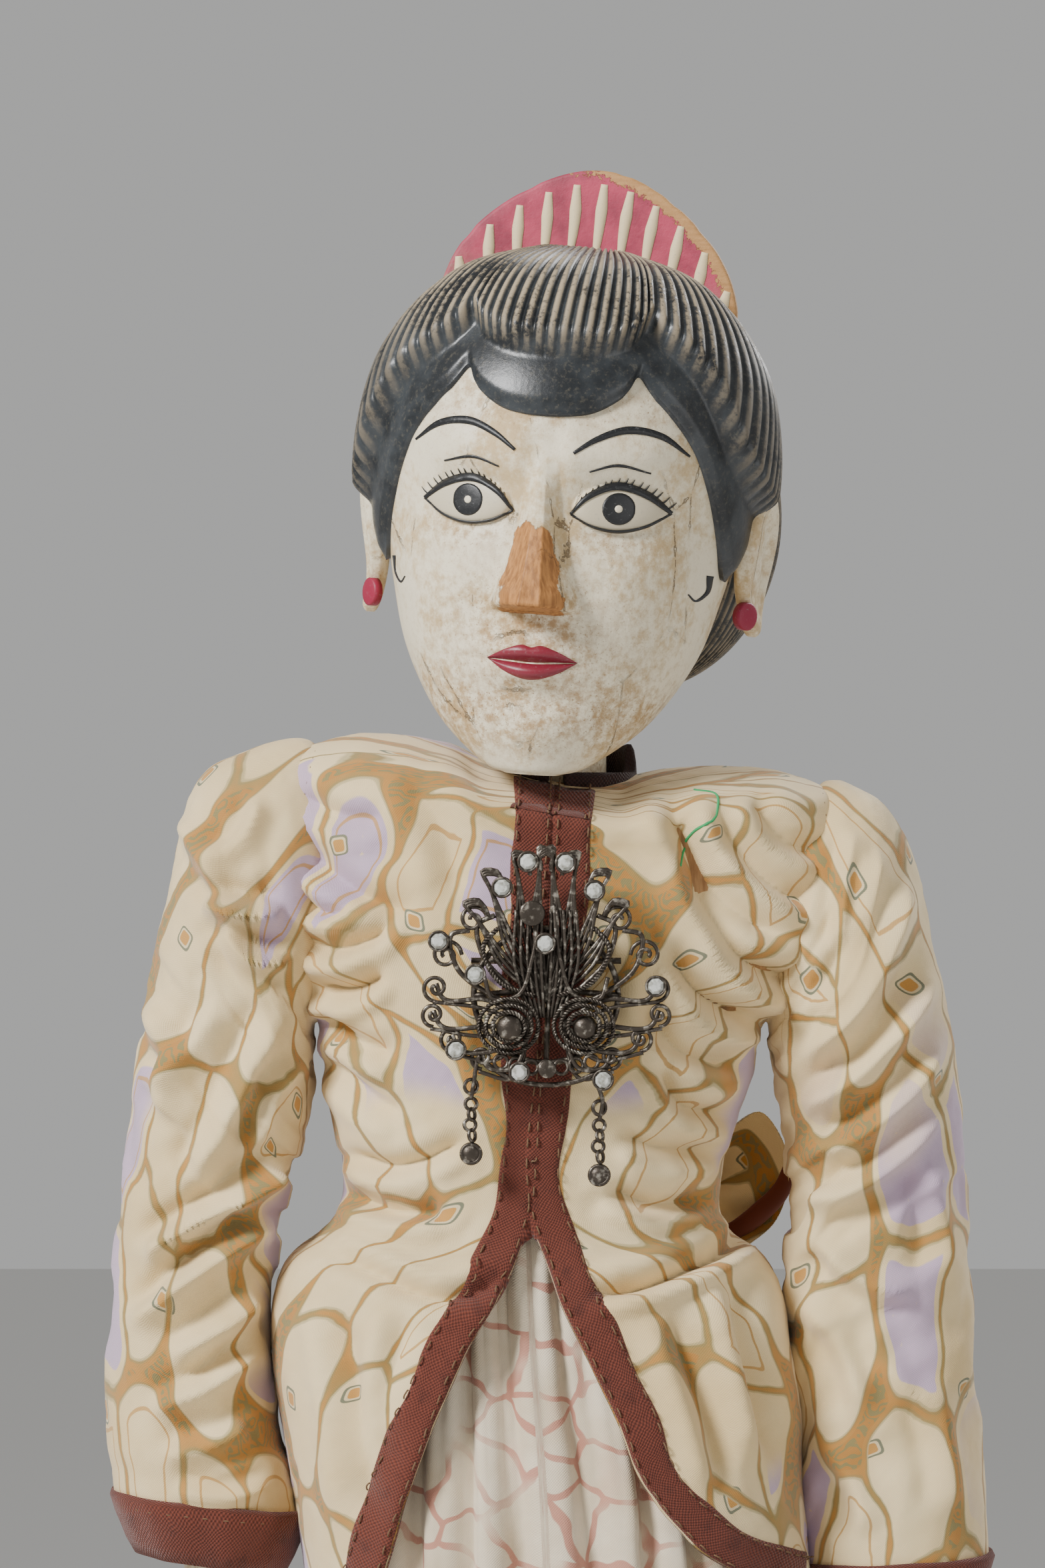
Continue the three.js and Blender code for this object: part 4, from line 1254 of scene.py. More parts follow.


def sleeve_form(side, rows, cols):
    """The smooth sleeve. Column 0 is its outer edge, and the columns run forward first."""
    outer, inner = (np.array(e, float) for e in SLEEVE[side])
    level = np.linspace(0, len(outer) - 1, rows)
    at = np.arange(len(outer))
    o, i, depth = curve(at, outer, level), curve(at, inner, level), curve(at, SLEEVE_DEPTH, level)
    turn = np.linspace(0, 2 * np.pi, cols, endpoint=False)
    ct = np.sign(np.cos(turn)) * np.abs(np.cos(turn)) ** 0.92
    st = np.sign(np.sin(turn)) * np.abs(np.sin(turn)) ** 0.92
    middle, half = (o + i) / 2, (o - i) / 2
    x = middle[:, :1] + half[:, :1] * ct
    z = middle[:, 1:] + half[:, 1:] * ct
    return np.stack([x, -depth[:, None] * st, z], -1)


def sleeve_slack(side):
    """Extra cloth: gathers at the armhole, drag folds to the armpit, bunching at the elbow."""
    lean = -SIDES[side]
    inner = lambda u: bump(u, 0.5, 0.2)
    front = lambda u: bump(u, 0.27 if side == "right" else 0.73, 0.17)
    along = lambda v, u: 0.035 + 0.14 * bump(v, 0.62, 0.14) + 0.10 * bump(v, 0.3,
        0.16) * front(u) + 0.08 * bump(v, 0.9, 0.1) + 0.10 * inner(u) * bump(v, 0.5, 0.25)
    across = lambda v, u: 0.02 + 0.20 * bump(v, 0.06, 0.06) + 0.05 * bump(v, 0.4, 0.2)
    shear = lambda v, u: lean * (0.10 * bump(v, 0.34, 0.16) - 0.08 * bump(v, 0.7,
        0.12)) * (0.4 + 0.6 * front(u))
    return along, across, shear


# Drawn folds on the front of the sleeves: (x, z) line, half-width and height.
SLEEVE_CREASES = {
    "right": [
        ([(-49, 497), (-57, 496), (-66, 499)], 2.6, 2.4), ([(-48, 487), (-56, 488), (-62, 494)], 2.2, 1.8),
        ([(-50, 480), (-56, 468), (-62, 455), (-70, 444)], 3.0, 2.0), ([(-47, 470), (-52, 462), (-56, 450)],
            2.2, 1.5),
        ([(-48, 450), (-58, 443), (-68, 437), (-78, 430)], 2.6,
            2.3), ([(-51, 439), (-62, 432), (-72, 424), (-80, 417)], 2.6, 2.1),
        ([(-54, 424), (-62, 418), (-72, 412)], 2.4, 1.5), ([(-54, 414), (-64, 407), (-77, 402)], 2.4, 1.5),
        ([(-56, 400), (-64, 396), (-74, 394)], 2.2, 1.1), ([(-70, 515), (-64, 505), (-60, 500)], 2.6, 1.2),
        ([(-76, 480), (-72, 468), (-73, 456)], 2.8, 1.3), ([(-54, 519), (-58, 510), (-66, 506)], 2.2, 1.1),
        ([(-62, 480), (-68, 470), (-76, 462)], 2.6, 1.2), ([(-52, 388), (-62, 386), (-72, 388)], 2.0, 1.0),
    ],
    "left": [
        ([(58, 513), (56, 500), (55, 488)], 2.4, 1.5), ([(62, 512), (61, 498), (57, 484), (48, 474)], 2.8,
            1.9),
        ([(68, 506), (65, 492), (58, 478), (47, 468)], 2.8,
            2.1), ([(74, 486), (66, 474), (56, 464), (47, 459)], 2.8, 1.8),
        ([(75, 474), (68, 462), (58, 454), (48, 450)], 2.6,
            1.5), ([(76, 460), (66, 450), (54, 443), (47, 441)], 2.4, 1.4),
        ([(70, 452), (74, 440), (75, 426)], 2.8, 1.1), ([(50, 436), (58, 428), (70, 424)], 2.4, 1.3),
        ([(48, 424), (56, 414), (60, 400)], 2.8, 1.1), ([(60, 420), (66, 408), (74, 402)], 2.4, 1.0),
        ([(72, 410), (75, 396), (76, 382)], 3.0, 1.0), ([(52, 398), (58, 388), (60, 378)], 2.6, 0.9),
    ],
}


def make_sleeve(side):
    along, across, shear = sleeve_slack(side)
    free = lambda v, u: smoothstep(0.0, 0.05, v) * (1 - 0.75 * smoothstep(0.965, 1.0, v))
    levels = ((22, 16, 90, 0.3, 1.0), (44, 32, 50, 0.8, 0.8), (88, 64, 16, 1.2, 0.6),
        (SLEEVE_ROWS, SLEEVE_COLS, 6, 1.2, 0.5))
    base = sleeve_form(side, 60, 48)
    if side == "left":
        base = np.roll(base[:, ::-1], 1, 1)
    grid, form = drape(base, True, levels, along, across, shear, reach=(2.6, 3.4), free=free,
        seed=3 if side == "right" else 8)
    front = smoothstep(0, -5, form[..., 1])
    lift = FOLD_HEIGHT * creased(form, SLEEVE_CREASES[side], front) + 0.12 * noise(grid, 1.7)
    grid = grid + grid_normals(form, True) * lift[..., None]
    normals = grid_normals(grid, True)
    closed = np.concatenate([form, form[:, :1]], 1)
    uv = arc_uv(closed)
    return grid, normals, uv[:, :-1]


def sleeve_pieces(side):
    """Cuts one sleeve across into five lengths at the joints' rows; the last rides on the forearm, and the
    other four are not attached to a body.
    """
    grid, normals, uv = make_sleeve(side)
    outer = SLEEVE[side][0]
    per = (SLEEVE_ROWS - 1) / (len(outer) - 1)
    cuts = [int(round(c * per)) for c in (0, SHOULDER_END, RAISE_END, TWIST_END, BEND_END, len(outer) - 1)]
    chain = ["torso", f"shoulder_knot_{side}", f"upper_arm_{side}", f"elbow_knot_{side}", f"forearm_{side}"]
    made = []
    for k in range(5):
        rows = slice(cuts[k], cuts[k + 1] + 1)
        name = ("sleeve_head", "sleeve_shoulder", "sleeve_arm", "sleeve_elbow", "sleeve_fore")[k] + f"_{side}"
        blend = None
        if k < 4:
            blend = (chain[k], chain[k + 1], *blend_span(grid[cuts[k]], grid[cuts[k + 1]]))
        gone = {2: [f"sleeve_upper_{side}"], 4: [f"sleeve_lower_{side}"]}.get(k, [])
        piece = cloth_piece(name, grid[rows], uv[rows], BATIK, chain[4], 0.5, True, gone,
            normals[rows], blend)
        made.append(piece)
    return grid, made


def blend_span(first, last):
    """A start and end, square to the last ring, from the first ring's furthest point to the last ring's
    nearest."""
    middle = last.mean(0)
    n = np.cross(last[0] - middle, last[len(last) // 4] - middle)
    n /= np.linalg.norm(n)
    if np.dot(middle - first.mean(0), n) < 0:
        n = -n
    low, high = np.max(first @ n), np.min(last @ n)
    high = max(high, low + 1.5)
    at = middle - n * np.dot(middle, n)
    return at + n * low, at + n * high


SLEEVES = {side: sleeve_pieces(side) for side in SIDES}


# ---------------------------------------------------------------- jacket

# height, then where the jacket's sides are in X, then its front and back depth
JACKET = np.array([
    (354, -45, 51, 42, 41), (371, -46, 49.5, 41, 40), (385, -48, 48.3, 39.5, 39), (400, -50.5, 47.3, 37.5,
        37.5),
    (414, -52.3, 45.3, 34.5, 35), (424, -51.8, 43.8, 31.5, 32), (431, -48.5, 40, 28.5, 29), (436, -42.5, 34,
        27, 26.8),
    (441, -39.6, 32.4, 26.3, 26), (447, -39, 32.8, 26.6, 26), (456, -40.5, 35, 27.3, 26.5), (466, -42, 38.5,
        27.6, 27),
    (474, -43.4, 40.2, 27.8, 27.2), (481, -47, 46.5, 27.8, 27), (490, -50.5, 53.5, 27, 26.3), (500, -51.8,
        55.8, 25.5, 25),
    (508, -51.6, 56, 23.8, 23.3),
], float)
SHOULDER_LINE = np.array([
    (-60, 526), (-51, 528.6), (-46, 530), (-36, 531), (-26, 530), (-18, 528), (-13, 525.5), (0, 523.6),
    (13, 521.5), (20, 523.2), (30, 524.2), (42, 524.2), (52, 522.2), (60, 518),
], float)
COLLAR_MIDDLE, COLLAR_HALF = np.array([1.4, -0.5]), np.array([14.2, 12.6])
# The front edges as (z, x): where each front ends towards the opening.
OPENING = {
    "right": [(354, -37), (371, -31.5), (386, -27), (401, -21.7), (416, -15), (425, -9.2), (432, -6),
        (438, -4.0), (484, -1.2), (528, 1.4)],
    "left": [(354, 54), (366, 51), (371, 40), (378, 28), (386, 20.5), (393, 16), (401, 13.2), (408, 9.9),
        (416, 6), (423, 2.4), (431, -0.4), (438, -3.2), (484, -0.6), (528, 1.5)],
}
JACKET_ROWS, JACKET_COLS, SHOULDER_SHARE = 230, 300, 0.30
CORNER = 2.4  # exponent of the body's rounded cross-section


def opening_x(side, z):
    zs, xs = np.array(OPENING[side], float).T
    return np.interp(z, zs, xs)


def body_section(z, turn):
    """The jacket's smooth form at heights z; turn is 0 at the front, positive towards +X."""
    low, high, front, back = (curve(JACKET[:, 0], JACKET[:, k], z) for k in (1, 2, 3, 4))
    middle, half = (low + high) / 2, (high - low) / 2
    s, c = np.sin(turn), np.cos(turn)
    x = middle + half * np.sign(s) * np.abs(s) ** (2 / CORNER)
    y = -np.where(c > 0, front, back) * np.sign(c) * np.abs(c) ** (2 / CORNER)
    return x, y


def turn_at(z, x):
    """Where on the front of the section a given x lies."""
    low, high = curve(JACKET[:, 0], JACKET[:, 1], z), curve(JACKET[:, 0], JACKET[:, 2], z)
    share = np.clip((x - (low + high) / 2) / ((high - low) / 2), -0.999, 0.999)
    return np.arcsin(np.sign(share) * np.abs(share) ** (CORNER / 2))


def jacket_form(rows, cols, edges=True):
    """Rows from the neck down to the hem, columns from the right front edge round the back."""
    upper = int(rows * SHOULDER_SHARE)
    top_z = JACKET[-1, 0]
    heights = np.concatenate([np.full(upper, top_z), np.linspace(top_z, JACKET[0, 0], rows - upper)])
    start, end = np.zeros(rows), np.zeros(rows)
    for r, z in enumerate(heights):
        reached = z if r >= upper else top_z + (1 - r / upper) * 18
        if edges:
            start[r] = turn_at(min(z, top_z), opening_x("right", reached))
            end[r] = turn_at(min(z, top_z), opening_x("left", reached))
    u = np.linspace(0, 1, cols)[None, :]
    turn = start[:, None] * (1 - u) + (end[:, None] - 2 * math.pi) * u
    x, y = body_section(np.repeat(heights[:, None], cols, 1), turn)
    z = np.repeat(heights[:, None], cols, 1)
    ring_x, ring_y = x[:upper], y[:upper]
    neck_x = COLLAR_MIDDLE[0] + COLLAR_HALF[0] * np.sin(turn[:upper])
    neck_y = COLLAR_MIDDLE[1] - COLLAR_HALF[1] * np.cos(turn[:upper])
    t = (1 - np.arange(upper) / upper)[:, None] * math.pi / 2
    inwards = (1 - np.cos(t)) ** 1.8
    rise = np.sin(t) ** 0.38
    x[:upper] = ring_x + (neck_x - ring_x) * inwards
    y[:upper] = ring_y + (neck_y - ring_y) * inwards
    crest = np.interp(x[:upper], SHOULDER_LINE[:, 0], SHOULDER_LINE[:, 1]) - 0.014 * y[:upper] ** 2
    z[:upper] = top_z + (crest - top_z) * rise
    return np.stack([x, y, z], -1)


CREASES = [  # (x, z) lines on the front, then half-width and height of the fold
    ([(-49, 512), (-42, 505), (-33, 499), (-24, 497)], 2.6, 1.5), ([(-49, 500), (-43, 497), (-36, 497)], 1.8,
        1.3),
    ([(-48, 492), (-41, 490), (-34, 492), (-28, 496)], 2.2, 1.6), ([(-46, 483), (-38, 482), (-30, 486)], 2.2,
        1.8),
    ([(-44, 478), (-36, 472), (-28, 470)], 2.4, 1.5), ([(-42, 470), (-34, 462), (-26, 458)], 2.6, 1.4),
    ([(-40, 452), (-30, 449), (-20, 452), (-14, 455)], 2.0, 1.3), ([(-40, 444), (-30, 441), (-18, 441)], 2.2,
        1.8),
    ([(-28, 524), (-20, 512), (-17, 498)], 3.4, 1.0), ([(-48, 520), (-40, 515), (-30, 514)], 2.2, 1.0),
    ([(22, 520), (27, 508), (36, 497), (46, 490)], 3.0, 2.4), ([(24, 508), (30, 497), (40, 486), (50, 482)],
        2.6, 2.6),
    ([(30, 518), (36, 508), (46, 500), (53, 498)], 2.4, 1.6), ([(38, 519), (44, 511), (53, 507)], 2.4, 1.2),
    ([(22, 492), (28, 482), (36, 477), (42, 477)], 2.4, 2.4), ([(18, 480), (26, 470), (38, 468)], 2.6, 1.8),
    ([(20, 470), (26, 460), (35, 458)], 2.2, 1.8), ([(12, 456), (22, 452), (33, 452)], 2.2, 1.6),
    ([(10, 446), (20, 442), (31, 443)], 2.4, 1.8), ([(16, 500), (20, 486), (18, 470)], 3.0, 1.2),
    ([(-6, 430), (-20, 425), (-34, 430), (-44, 433)], 2.0,
        1.6), ([(6, 426), (16, 427), (28, 431), (40, 436)], 2.0, 2.2),
    ([(-40, 426), (-36, 405), (-34, 380)], 3.4, 1.6), ([(-26, 424), (-30, 408), (-30, 390)], 2.6, 1.0),
    ([(22, 424), (28, 408), (34, 388)], 3.0, 1.8), ([(34, 430), (38, 412), (42, 392)], 2.8, 1.8),
]


def make_jacket():
    """The whole jacket's cloth, neck to hem, as one grid that is then cut into three."""
    base = jacket_form(64, 84)
    back = lambda u: smoothstep(0.2, 0.3, u) * smoothstep(0.8, 0.7, u)
    side = lambda u: bump(u, 0.25, 0.09) + bump(u, 0.75, 0.09)
    waist = 0.30 + 0.7 * (508 - 441) / (508 - 354)
    along = lambda v, u: 0.012 + 0.10 * bump(v, waist - 0.04, 0.05) + 0.05 * bump(v, 0.42,
        0.1) * side(u) + 0.03 * back(u)
    across = lambda v, u: 0.02 + 0.045 * smoothstep(0.3, 0.4, v) + 0.05 * smoothstep(waist, 1,
        v) + 0.06 * side(u) * bump(v, 0.35, 0.1)
    shear = lambda v, u: 0.05 * bump(v, 0.45, 0.14) * (bump(u, 0.15, 0.1) - bump(u, 0.85, 0.1))
    free = lambda v, u: smoothstep(0.2, 0.36, v) * (0.25 + 0.75 * smoothstep(0, 0.035, np.minimum(u, 1 - u)))
    levels = ((34, 40, 90, 0.3, 1.0), (68, 80, 50, 0.8, 0.9), (136, 160, 16, 1.2, 0.6),
        (JACKET_ROWS, JACKET_COLS, 6, 1.2, 0.5))
    grid, form = drape(base, False, levels, along, across, shear, reach=(1.5, 2.4), free=free, seed=5)
    normals = grid_normals(form, False)
    front = smoothstep(2, -6, form[..., 1])
    grid = grid + normals * (FOLD_HEIGHT * creased(form, CREASES, front) + 0.1 * noise(grid, 1.8))[..., None]
    return grid, form


JACKET_GRID, JACKET_FORM = make_jacket()


def jacket_pieces():
    """Right front, back and left front, cut along the side seams."""
    uv = arc_uv(JACKET_FORM)
    normals = grid_normals(JACKET_GRID, False)
    first, second = int(JACKET_COLS * 0.27), int(JACKET_COLS * 0.73)
    for name, cols in (
        ("jacket_front_right", slice(0, first + 1)), ("jacket_back", slice(first, second + 1)),
        ("jacket_front_left", slice(second, JACKET_COLS)),
    ):
        cloth_piece(name + "_cloth", JACKET_GRID[:, cols], uv[:, cols], BATIK, "torso",
            0.5, False, [name], normals[:, cols])


jacket_pieces()
JACKET_TREE = BVHTree.FromPolygons(
    JACKET_GRID.reshape(-1, 3).tolist(), grid_faces(JACKET_ROWS, JACKET_COLS, False, flip=True).tolist()
)


def on_jacket(x, z, lift=0.0):
    """A point on the front of the draped jacket, and the cloth's outward direction there."""
    hit, normal = JACKET_TREE.ray_cast(Vector((x, -90, z)), Vector((0, 1, 0)), 95)[:2]
    if hit is None:
        hit, normal = JACKET_TREE.find_nearest(Vector((x, -34, z)))[:2]
    if normal.y > 0:
        normal = -normal
    return np.array(hit) + np.array(normal) * lift, np.array(normal)


# ---------------------------------------------------------------- bindings, collar and stitches

BINDING_WIDTH, BINDING_ROWS = 7.6, 260


def edge_line(side, count):
    zs, xs = np.array(OPENING[side], float).T
    line = np.stack([xs, zs], 1)[::-1]
    line = line[line[:, 1] >= (362 if side == "left" else 356)]
    return through(line, count)


def make_binding(side):
    """A folded strip over one front edge, with a soft ridge at each side."""
    line = edge_line(side, BINDING_ROWS)
    along = np.gradient(line, axis=0)
    along /= np.linalg.norm(along, axis=1)[:, None]
    outward = SIDES[side]
    across = np.stack([-along[:, 1], along[:, 0]], 1)
    across *= np.sign(across[:, :1] * outward + 1e-9)
    shares = np.array([-0.10, -0.03, 0.06, 0.2, 0.4, 0.6, 0.8, 0.92, 1.0])
    puff = np.array([0.2, 0.9, 1.25, 1.25, 1.05, 1.05, 1.2, 1.1, 0.25])
    count = len(shares)
    rings = np.zeros((BINDING_ROWS, 2 * count, 3))
    for r, p in enumerate(line):
        width = BINDING_WIDTH * (1 + 0.05 * math.sin(r * 0.21) + 0.04 * math.sin(r * 0.083 + 1))
        wave = 0.25 * math.sin(r * 0.37) + 0.2 * math.sin(r * 0.171 + 2)
        for c, (share, lift) in enumerate(zip(shares, puff)):
            q = p + across[r] * share * width
            on, n = on_jacket(q[0], q[1])
            rings[r, c] = on + n * (lift + 0.25 * wave * math.sin(math.pi * max(share, 0)))
            rings[r, 2 * count - 1 - c] = on - n * 0.7
    grown = smoothed(rings, True, 1)
    verts, faces = capped(grown if outward < 0 else grown[:, ::-1])
    length = np.concatenate([[0], np.cumsum(np.linalg.norm(np.diff(line, axis=0), axis=1))])
    flat = np.concatenate([shares, shares[::-1]]) * BINDING_WIDTH
    if outward > 0:
        flat = flat[::-1]
    uv = np.stack(np.meshgrid(flat, length), -1).reshape(-1, 2)
    uv = np.vstack([uv, [0, 0], [0, length[-1]]])
    obj = mesh(f"binding_{side}", verts, faces, BINDING, "torso", [f"front_binding_{side}"],
        uv)
    return line, across


def stitch_row(points, normals, pitch, length, radius, sink=0.15):
    """Running stitches along a line on cloth: short arcs of thread."""
    steps = np.linalg.norm(np.diff(points, axis=0), axis=1)
    along = np.concatenate([[0], np.cumsum(steps)])
    parts = []
    at, k = pitch * 0.5, 0
    while at + length < along[-1]:
        wobble = 0.12 * math.sin(5 * k)
        knots = []
        for share, up in ((0, -sink), (0.2, radius), (0.5, radius * 1.7), (0.8, radius), (1, -sink)):
            s = at + (length + wobble) * share
            p = np.array([np.interp(s, along, points[:, j]) for j in range(3)])
            n = np.array([np.interp(s, along, normals[:, j]) for j in range(3)])
            knots.append(p + n * up)
        parts.append(wire(knots, radius, sides=6, count=9))
        at += pitch * (1 + 0.12 * math.sin(3.7 * k))
        k += 1
    return parts


def make_front_edges():
    for side in SIDES:
        line, across = make_binding(side)
        for share, name in ((0.86, "outer"), (0.1, "inner")):
            dots = [on_jacket(*(p + a * share * BINDING_WIDTH), 1.35) for p, a in zip(line, across)]
            points, normals = (np.array(v) for v in zip(*dots))
            verts, faces = joined(stitch_row(points, normals, 3.4, 1.7, 0.16))
            mesh(f"stitches_{name}_{side}", verts, faces, THREAD, "torso")


make_front_edges()


CHIN_CLEAR = 523.2  # the collar's front stays below this height, under the chin
COLLAR_LENGTH = 85.0  # nominal, not measured from the shape


def make_collar():
    """A low stand collar, open at the front and lower under the chin, with coarse weave."""
    cols = 150
    turn = np.linspace(0.10, 2 * math.pi - 0.10, cols)
    rings = []
    section = [(-0.9, -1.5), (0.9, -1.5), (1.3, 0.5), (1.25, 3.0), (1.0, 5.2), (0.5, 6.4), (-0.2, 6.6),
        (-0.8, 5.6), (-0.9, 3), (-0.95, 0.5)]
    for t in turn:
        slack = 0.8 * noise(np.array([[math.cos(t) * 9, math.sin(t) * 9, 3.0]]), 4.0)[0]
        ring = []
        for out, up in section:
            a, b = COLLAR_HALF[0] + out + slack * max(up, 0) / 5, COLLAR_HALF[1] + out + slack * max(up,
                0) / 5
            x, y = COLLAR_MIDDLE[0] + a * math.sin(t), COLLAR_MIDDLE[1] - b * math.cos(t)
            crest = np.interp(x, SHOULDER_LINE[:, 0], SHOULDER_LINE[:, 1]) - 0.014 * y * y
            under_chin = CHIN_CLEAR + 14 * float(smoothstep(-4, 3, y))
            ring.append([x, y, min(crest + up * (1 + 0.12 * y / 13), under_chin)])
        rings.append(ring)
    rings = np.array(rings)
    verts, faces = capped(rings, flip=True)
    around = np.linspace(0, COLLAR_LENGTH, cols)
    uv = np.stack(np.meshgrid(np.arange(len(section)) * 1.8, around), -1).reshape(-1, 2)
    uv = np.vstack([uv, [0, 0], [0, COLLAR_LENGTH]])
    obj = mesh("collar", verts, faces, DARK, "torso", ["neck_band"], uv)


make_collar()


# ---------------------------------------------------------------- skirt

SKIRT_FORM = np.array([  # height, middle in X, half-width, half-depth
    (100, 0, 49, 42), (170, -0.2, 48, 41), (250, -0.5, 46.3, 39.3), (320, -0.5, 44, 37.2), (354, -0.5, 42.6,
        36),
    (390, -1.8, 40.2, 33.0), (411, -3.5, 36.6, 27.4), (424, -4.4, 34.6, 24.6), (436, -4.6, 33.2, 23.6),
], float)
SKIRT_ROWS, SKIRT_COLS, PLEATS = 170, 420, 26


def make_skirt():
    """A wrapped skirt gathered at the waist: pleats that open towards the hem."""
    heights = np.linspace(SKIRT_FORM[-1, 0], SKIRT_FORM[0, 0], SKIRT_ROWS)[:, None]
    turn = -np.linspace(0, 2 * math.pi, SKIRT_COLS, endpoint=False)[None, :]
    middle, half, depth = (curve(SKIRT_FORM[:, 0], SKIRT_FORM[:, k], heights[:, 0])[:, None] for k in (1, 2,
        3))
    drop = (SKIRT_FORM[-1, 0] - heights) / (SKIRT_FORM[-1, 0] - SKIRT_FORM[0, 0])
    sway = 1.6 * noise(np.stack(np.broadcast_arrays(np.cos(turn) * 3, np.sin(turn) * 3, drop * 2.2), -1), 1.0)
    phase = turn * PLEATS + sway
    fine = turn * PLEATS * 3 + 2.2 * sway
    open_ = smoothstep(0, 0.25, drop)
    pleat = np.sign(np.sin(phase)) * np.abs(np.sin(phase)) ** 0.8
    size = 0.9 + 1.4 * open_ + 0.6 * drop
    gather = 0.8 * np.exp(-drop / 0.09) * np.sin(fine) + 0.25 * np.sin(fine * 0.66)
    strength = 0.75 + 0.45 * noise(np.stack(np.broadcast_arrays(np.cos(turn) * 2, np.sin(turn) * 2, drop),
        -1), 0.9)
    lift = (size * pleat * strength + gather) * smoothstep(-0.01, 0.02, drop)
    s, c = np.sin(turn), np.cos(turn)
    x = middle + (half + lift) * np.sign(s) * np.abs(s) ** (2 / CORNER)
    y = -(depth + lift) * np.sign(c) * np.abs(c) ** (2 / CORNER)
    grid = np.stack([x, y, np.broadcast_to(heights, x.shape)], -1)
    grid = grid + grid_normals(grid, True) * (0.12 * noise(grid, 2.2) + 0.3 * noise(grid, 9.0))[..., None]
    around = np.linspace(0, 400, SKIRT_COLS, endpoint=False)
    uv = np.stack(np.meshgrid(around, SKIRT_FORM[-1, 0] - heights[:, 0]), -1)
    cloth_piece("skirt_cloth", grid, uv, SKIRT, "torso", 0.6, True, ["skirt"])
    return grid


SKIRT_GRID = make_skirt()


# ---------------------------------------------------------------- cuffs

CUFF_HEIGHT = 10.5


def make_cuff(side):
    """A turned-up brown band sewn on the sleeve's end."""
    grid = SLEEVES[side][0]
    edge = grid[-1]
    edge = smoothed(edge[None].repeat(3, 0), True, 6)[1]
    middle = edge.mean(0)
    outward = edge - middle
    outward[:, 2] = 0
    outward /= np.linalg.norm(outward, axis=1)[:, None]
    section = [(-0.9, 1.2), (0.7, 1.6), (1.0, 0.6), (0.95, -2.5), (0.8, -5.0), (0.7, -7.6),
        (0.1, -CUFF_HEIGHT), (-0.8, -CUFF_HEIGHT), (-1.1, -7), (-1.0, -3)]
    count = len(edge)
    ripple = 0.35 * noise(edge, 5.0)
    rings = []
    for out, up in section:
        narrow = 1 - 0.02 * abs(min(up, 0))
        ring = middle + (edge - middle) * [narrow, narrow, 1] + outward * (out + ripple * (up < 1))[:, None]
        ring[:, 2] += up + 0.3 * noise(edge + up, 7.0)
        rings.append(ring)
    rings = np.array(rings + [rings[0]])
    rows = len(section)
    verts = rings[:-1].reshape(-1, 3)
    faces = []
    for r in range(rows):
        n = (r + 1) % rows
        for c in range(count):
            d = (c + 1) % count
            faces.append([r * count + c, n * count + c, n * count + d, r * count + d])
    around = np.concatenate([[0], np.cumsum(np.linalg.norm(np.diff(edge, axis=0), axis=1))])
    uv = np.stack(np.meshgrid(around, np.arange(rows) * 2.2), -1).reshape(-1, 2)
    obj = mesh(f"cuff_cloth_{side}", verts, faces, BINDING, f"forearm_{side}",
        [f"cuff_{side}"], uv)
    points = rings[3] + outward * 0.1
    parts = stitch_row(np.vstack([points, points[:1]]) + [0, 0, 1.6], np.vstack([outward, outward[:1]]), 3.6,
        1.8, 0.16)
    sv, sf = joined(parts)
    mesh(f"cuff_stitches_{side}", sv, sf, THREAD, f"forearm_{side}")


for each_side in SIDES:
    make_cuff(each_side)


# ---------------------------------------------------------------- brooch

BROOCH_LOW, BROOCH_HIGH = node_box("brooch_frame")
BROOCH_MIDDLE = (BROOCH_LOW + BROOCH_HIGH) / 2
WIRE_Y = BROOCH_MIDDLE[1] - 0.8


def at_brooch(x, z, lift=0.0):
    """A point on the brooch: x and z from its middle, lift towards the front."""
    return np.array([BROOCH_MIDDLE[0] + x, WIRE_Y - lift, BROOCH_MIDDLE[2] + z])


def brooch_wire(points, radius=0.45, dome=0.0, **more):
    laid = []
    for k, p in enumerate(points):
        lift = p[2] if len(p) > 2 else dome * math.sin(math.pi * k / max(len(points) - 1, 1))
        laid.append(at_brooch(p[0], p[1], lift))
    return wire(laid, radius, **more)


def spiral(centre, start, turns, radius, lift=0.6, wire_radius=0.4, sign=1):
    """A wire rolled in on itself."""
    points = []
    for t in np.linspace(0, 1, int(14 * turns)):
        r = radius * (1 - 0.8 * t)
        a = start + sign * 2 * math.pi * turns * t
        points.append((centre[0] + r * math.cos(a), centre[1] + r * math.sin(a), lift * (0.6 + 0.8 * t)))
    return brooch_wire(points, wire_radius, sides=7, count=len(points) * 2)


def plume(sign, angle, length, curl, lift=0.0, foot=(0.0, -4.0), strands=3):
    """One feather of the fan: strands bent over in a loop at the tip."""
    parts = []
    s, c = math.sin(angle) * sign, math.cos(angle)
    for k in range(strands):
        shift = (k - (strands - 1) / 2) * 0.85
        base = np.array(foot) + np.array([c * shift * 0.5 * sign, -s * shift * 0.5])
        tip = np.array(foot) + np.array([s, c]) * (length - 0.5 * k)
        bow = np.array([c, -s]) * (1.3 + shift) * sign
        middle = (base + tip) / 2 + bow
        hook = tip + np.array([s, c]) * curl * 0.9
        over = tip + np.array([c, -s]) * curl * sign * -1.0 + np.array([s, c]) * curl * 0.35
        end = tip + np.array([c, -s]) * curl * sign * -0.8 - np.array([s, c]) * curl * 0.55
        points = [(*base, lift), (*middle, lift + 0.7), (*tip, lift + 1.0), (*hook, lift + 1.1),
            (*over, lift + 1.2), (*end, lift + 1.3)]
        parts.append(brooch_wire(points, 0.4, sides=7, count=36))
    return parts


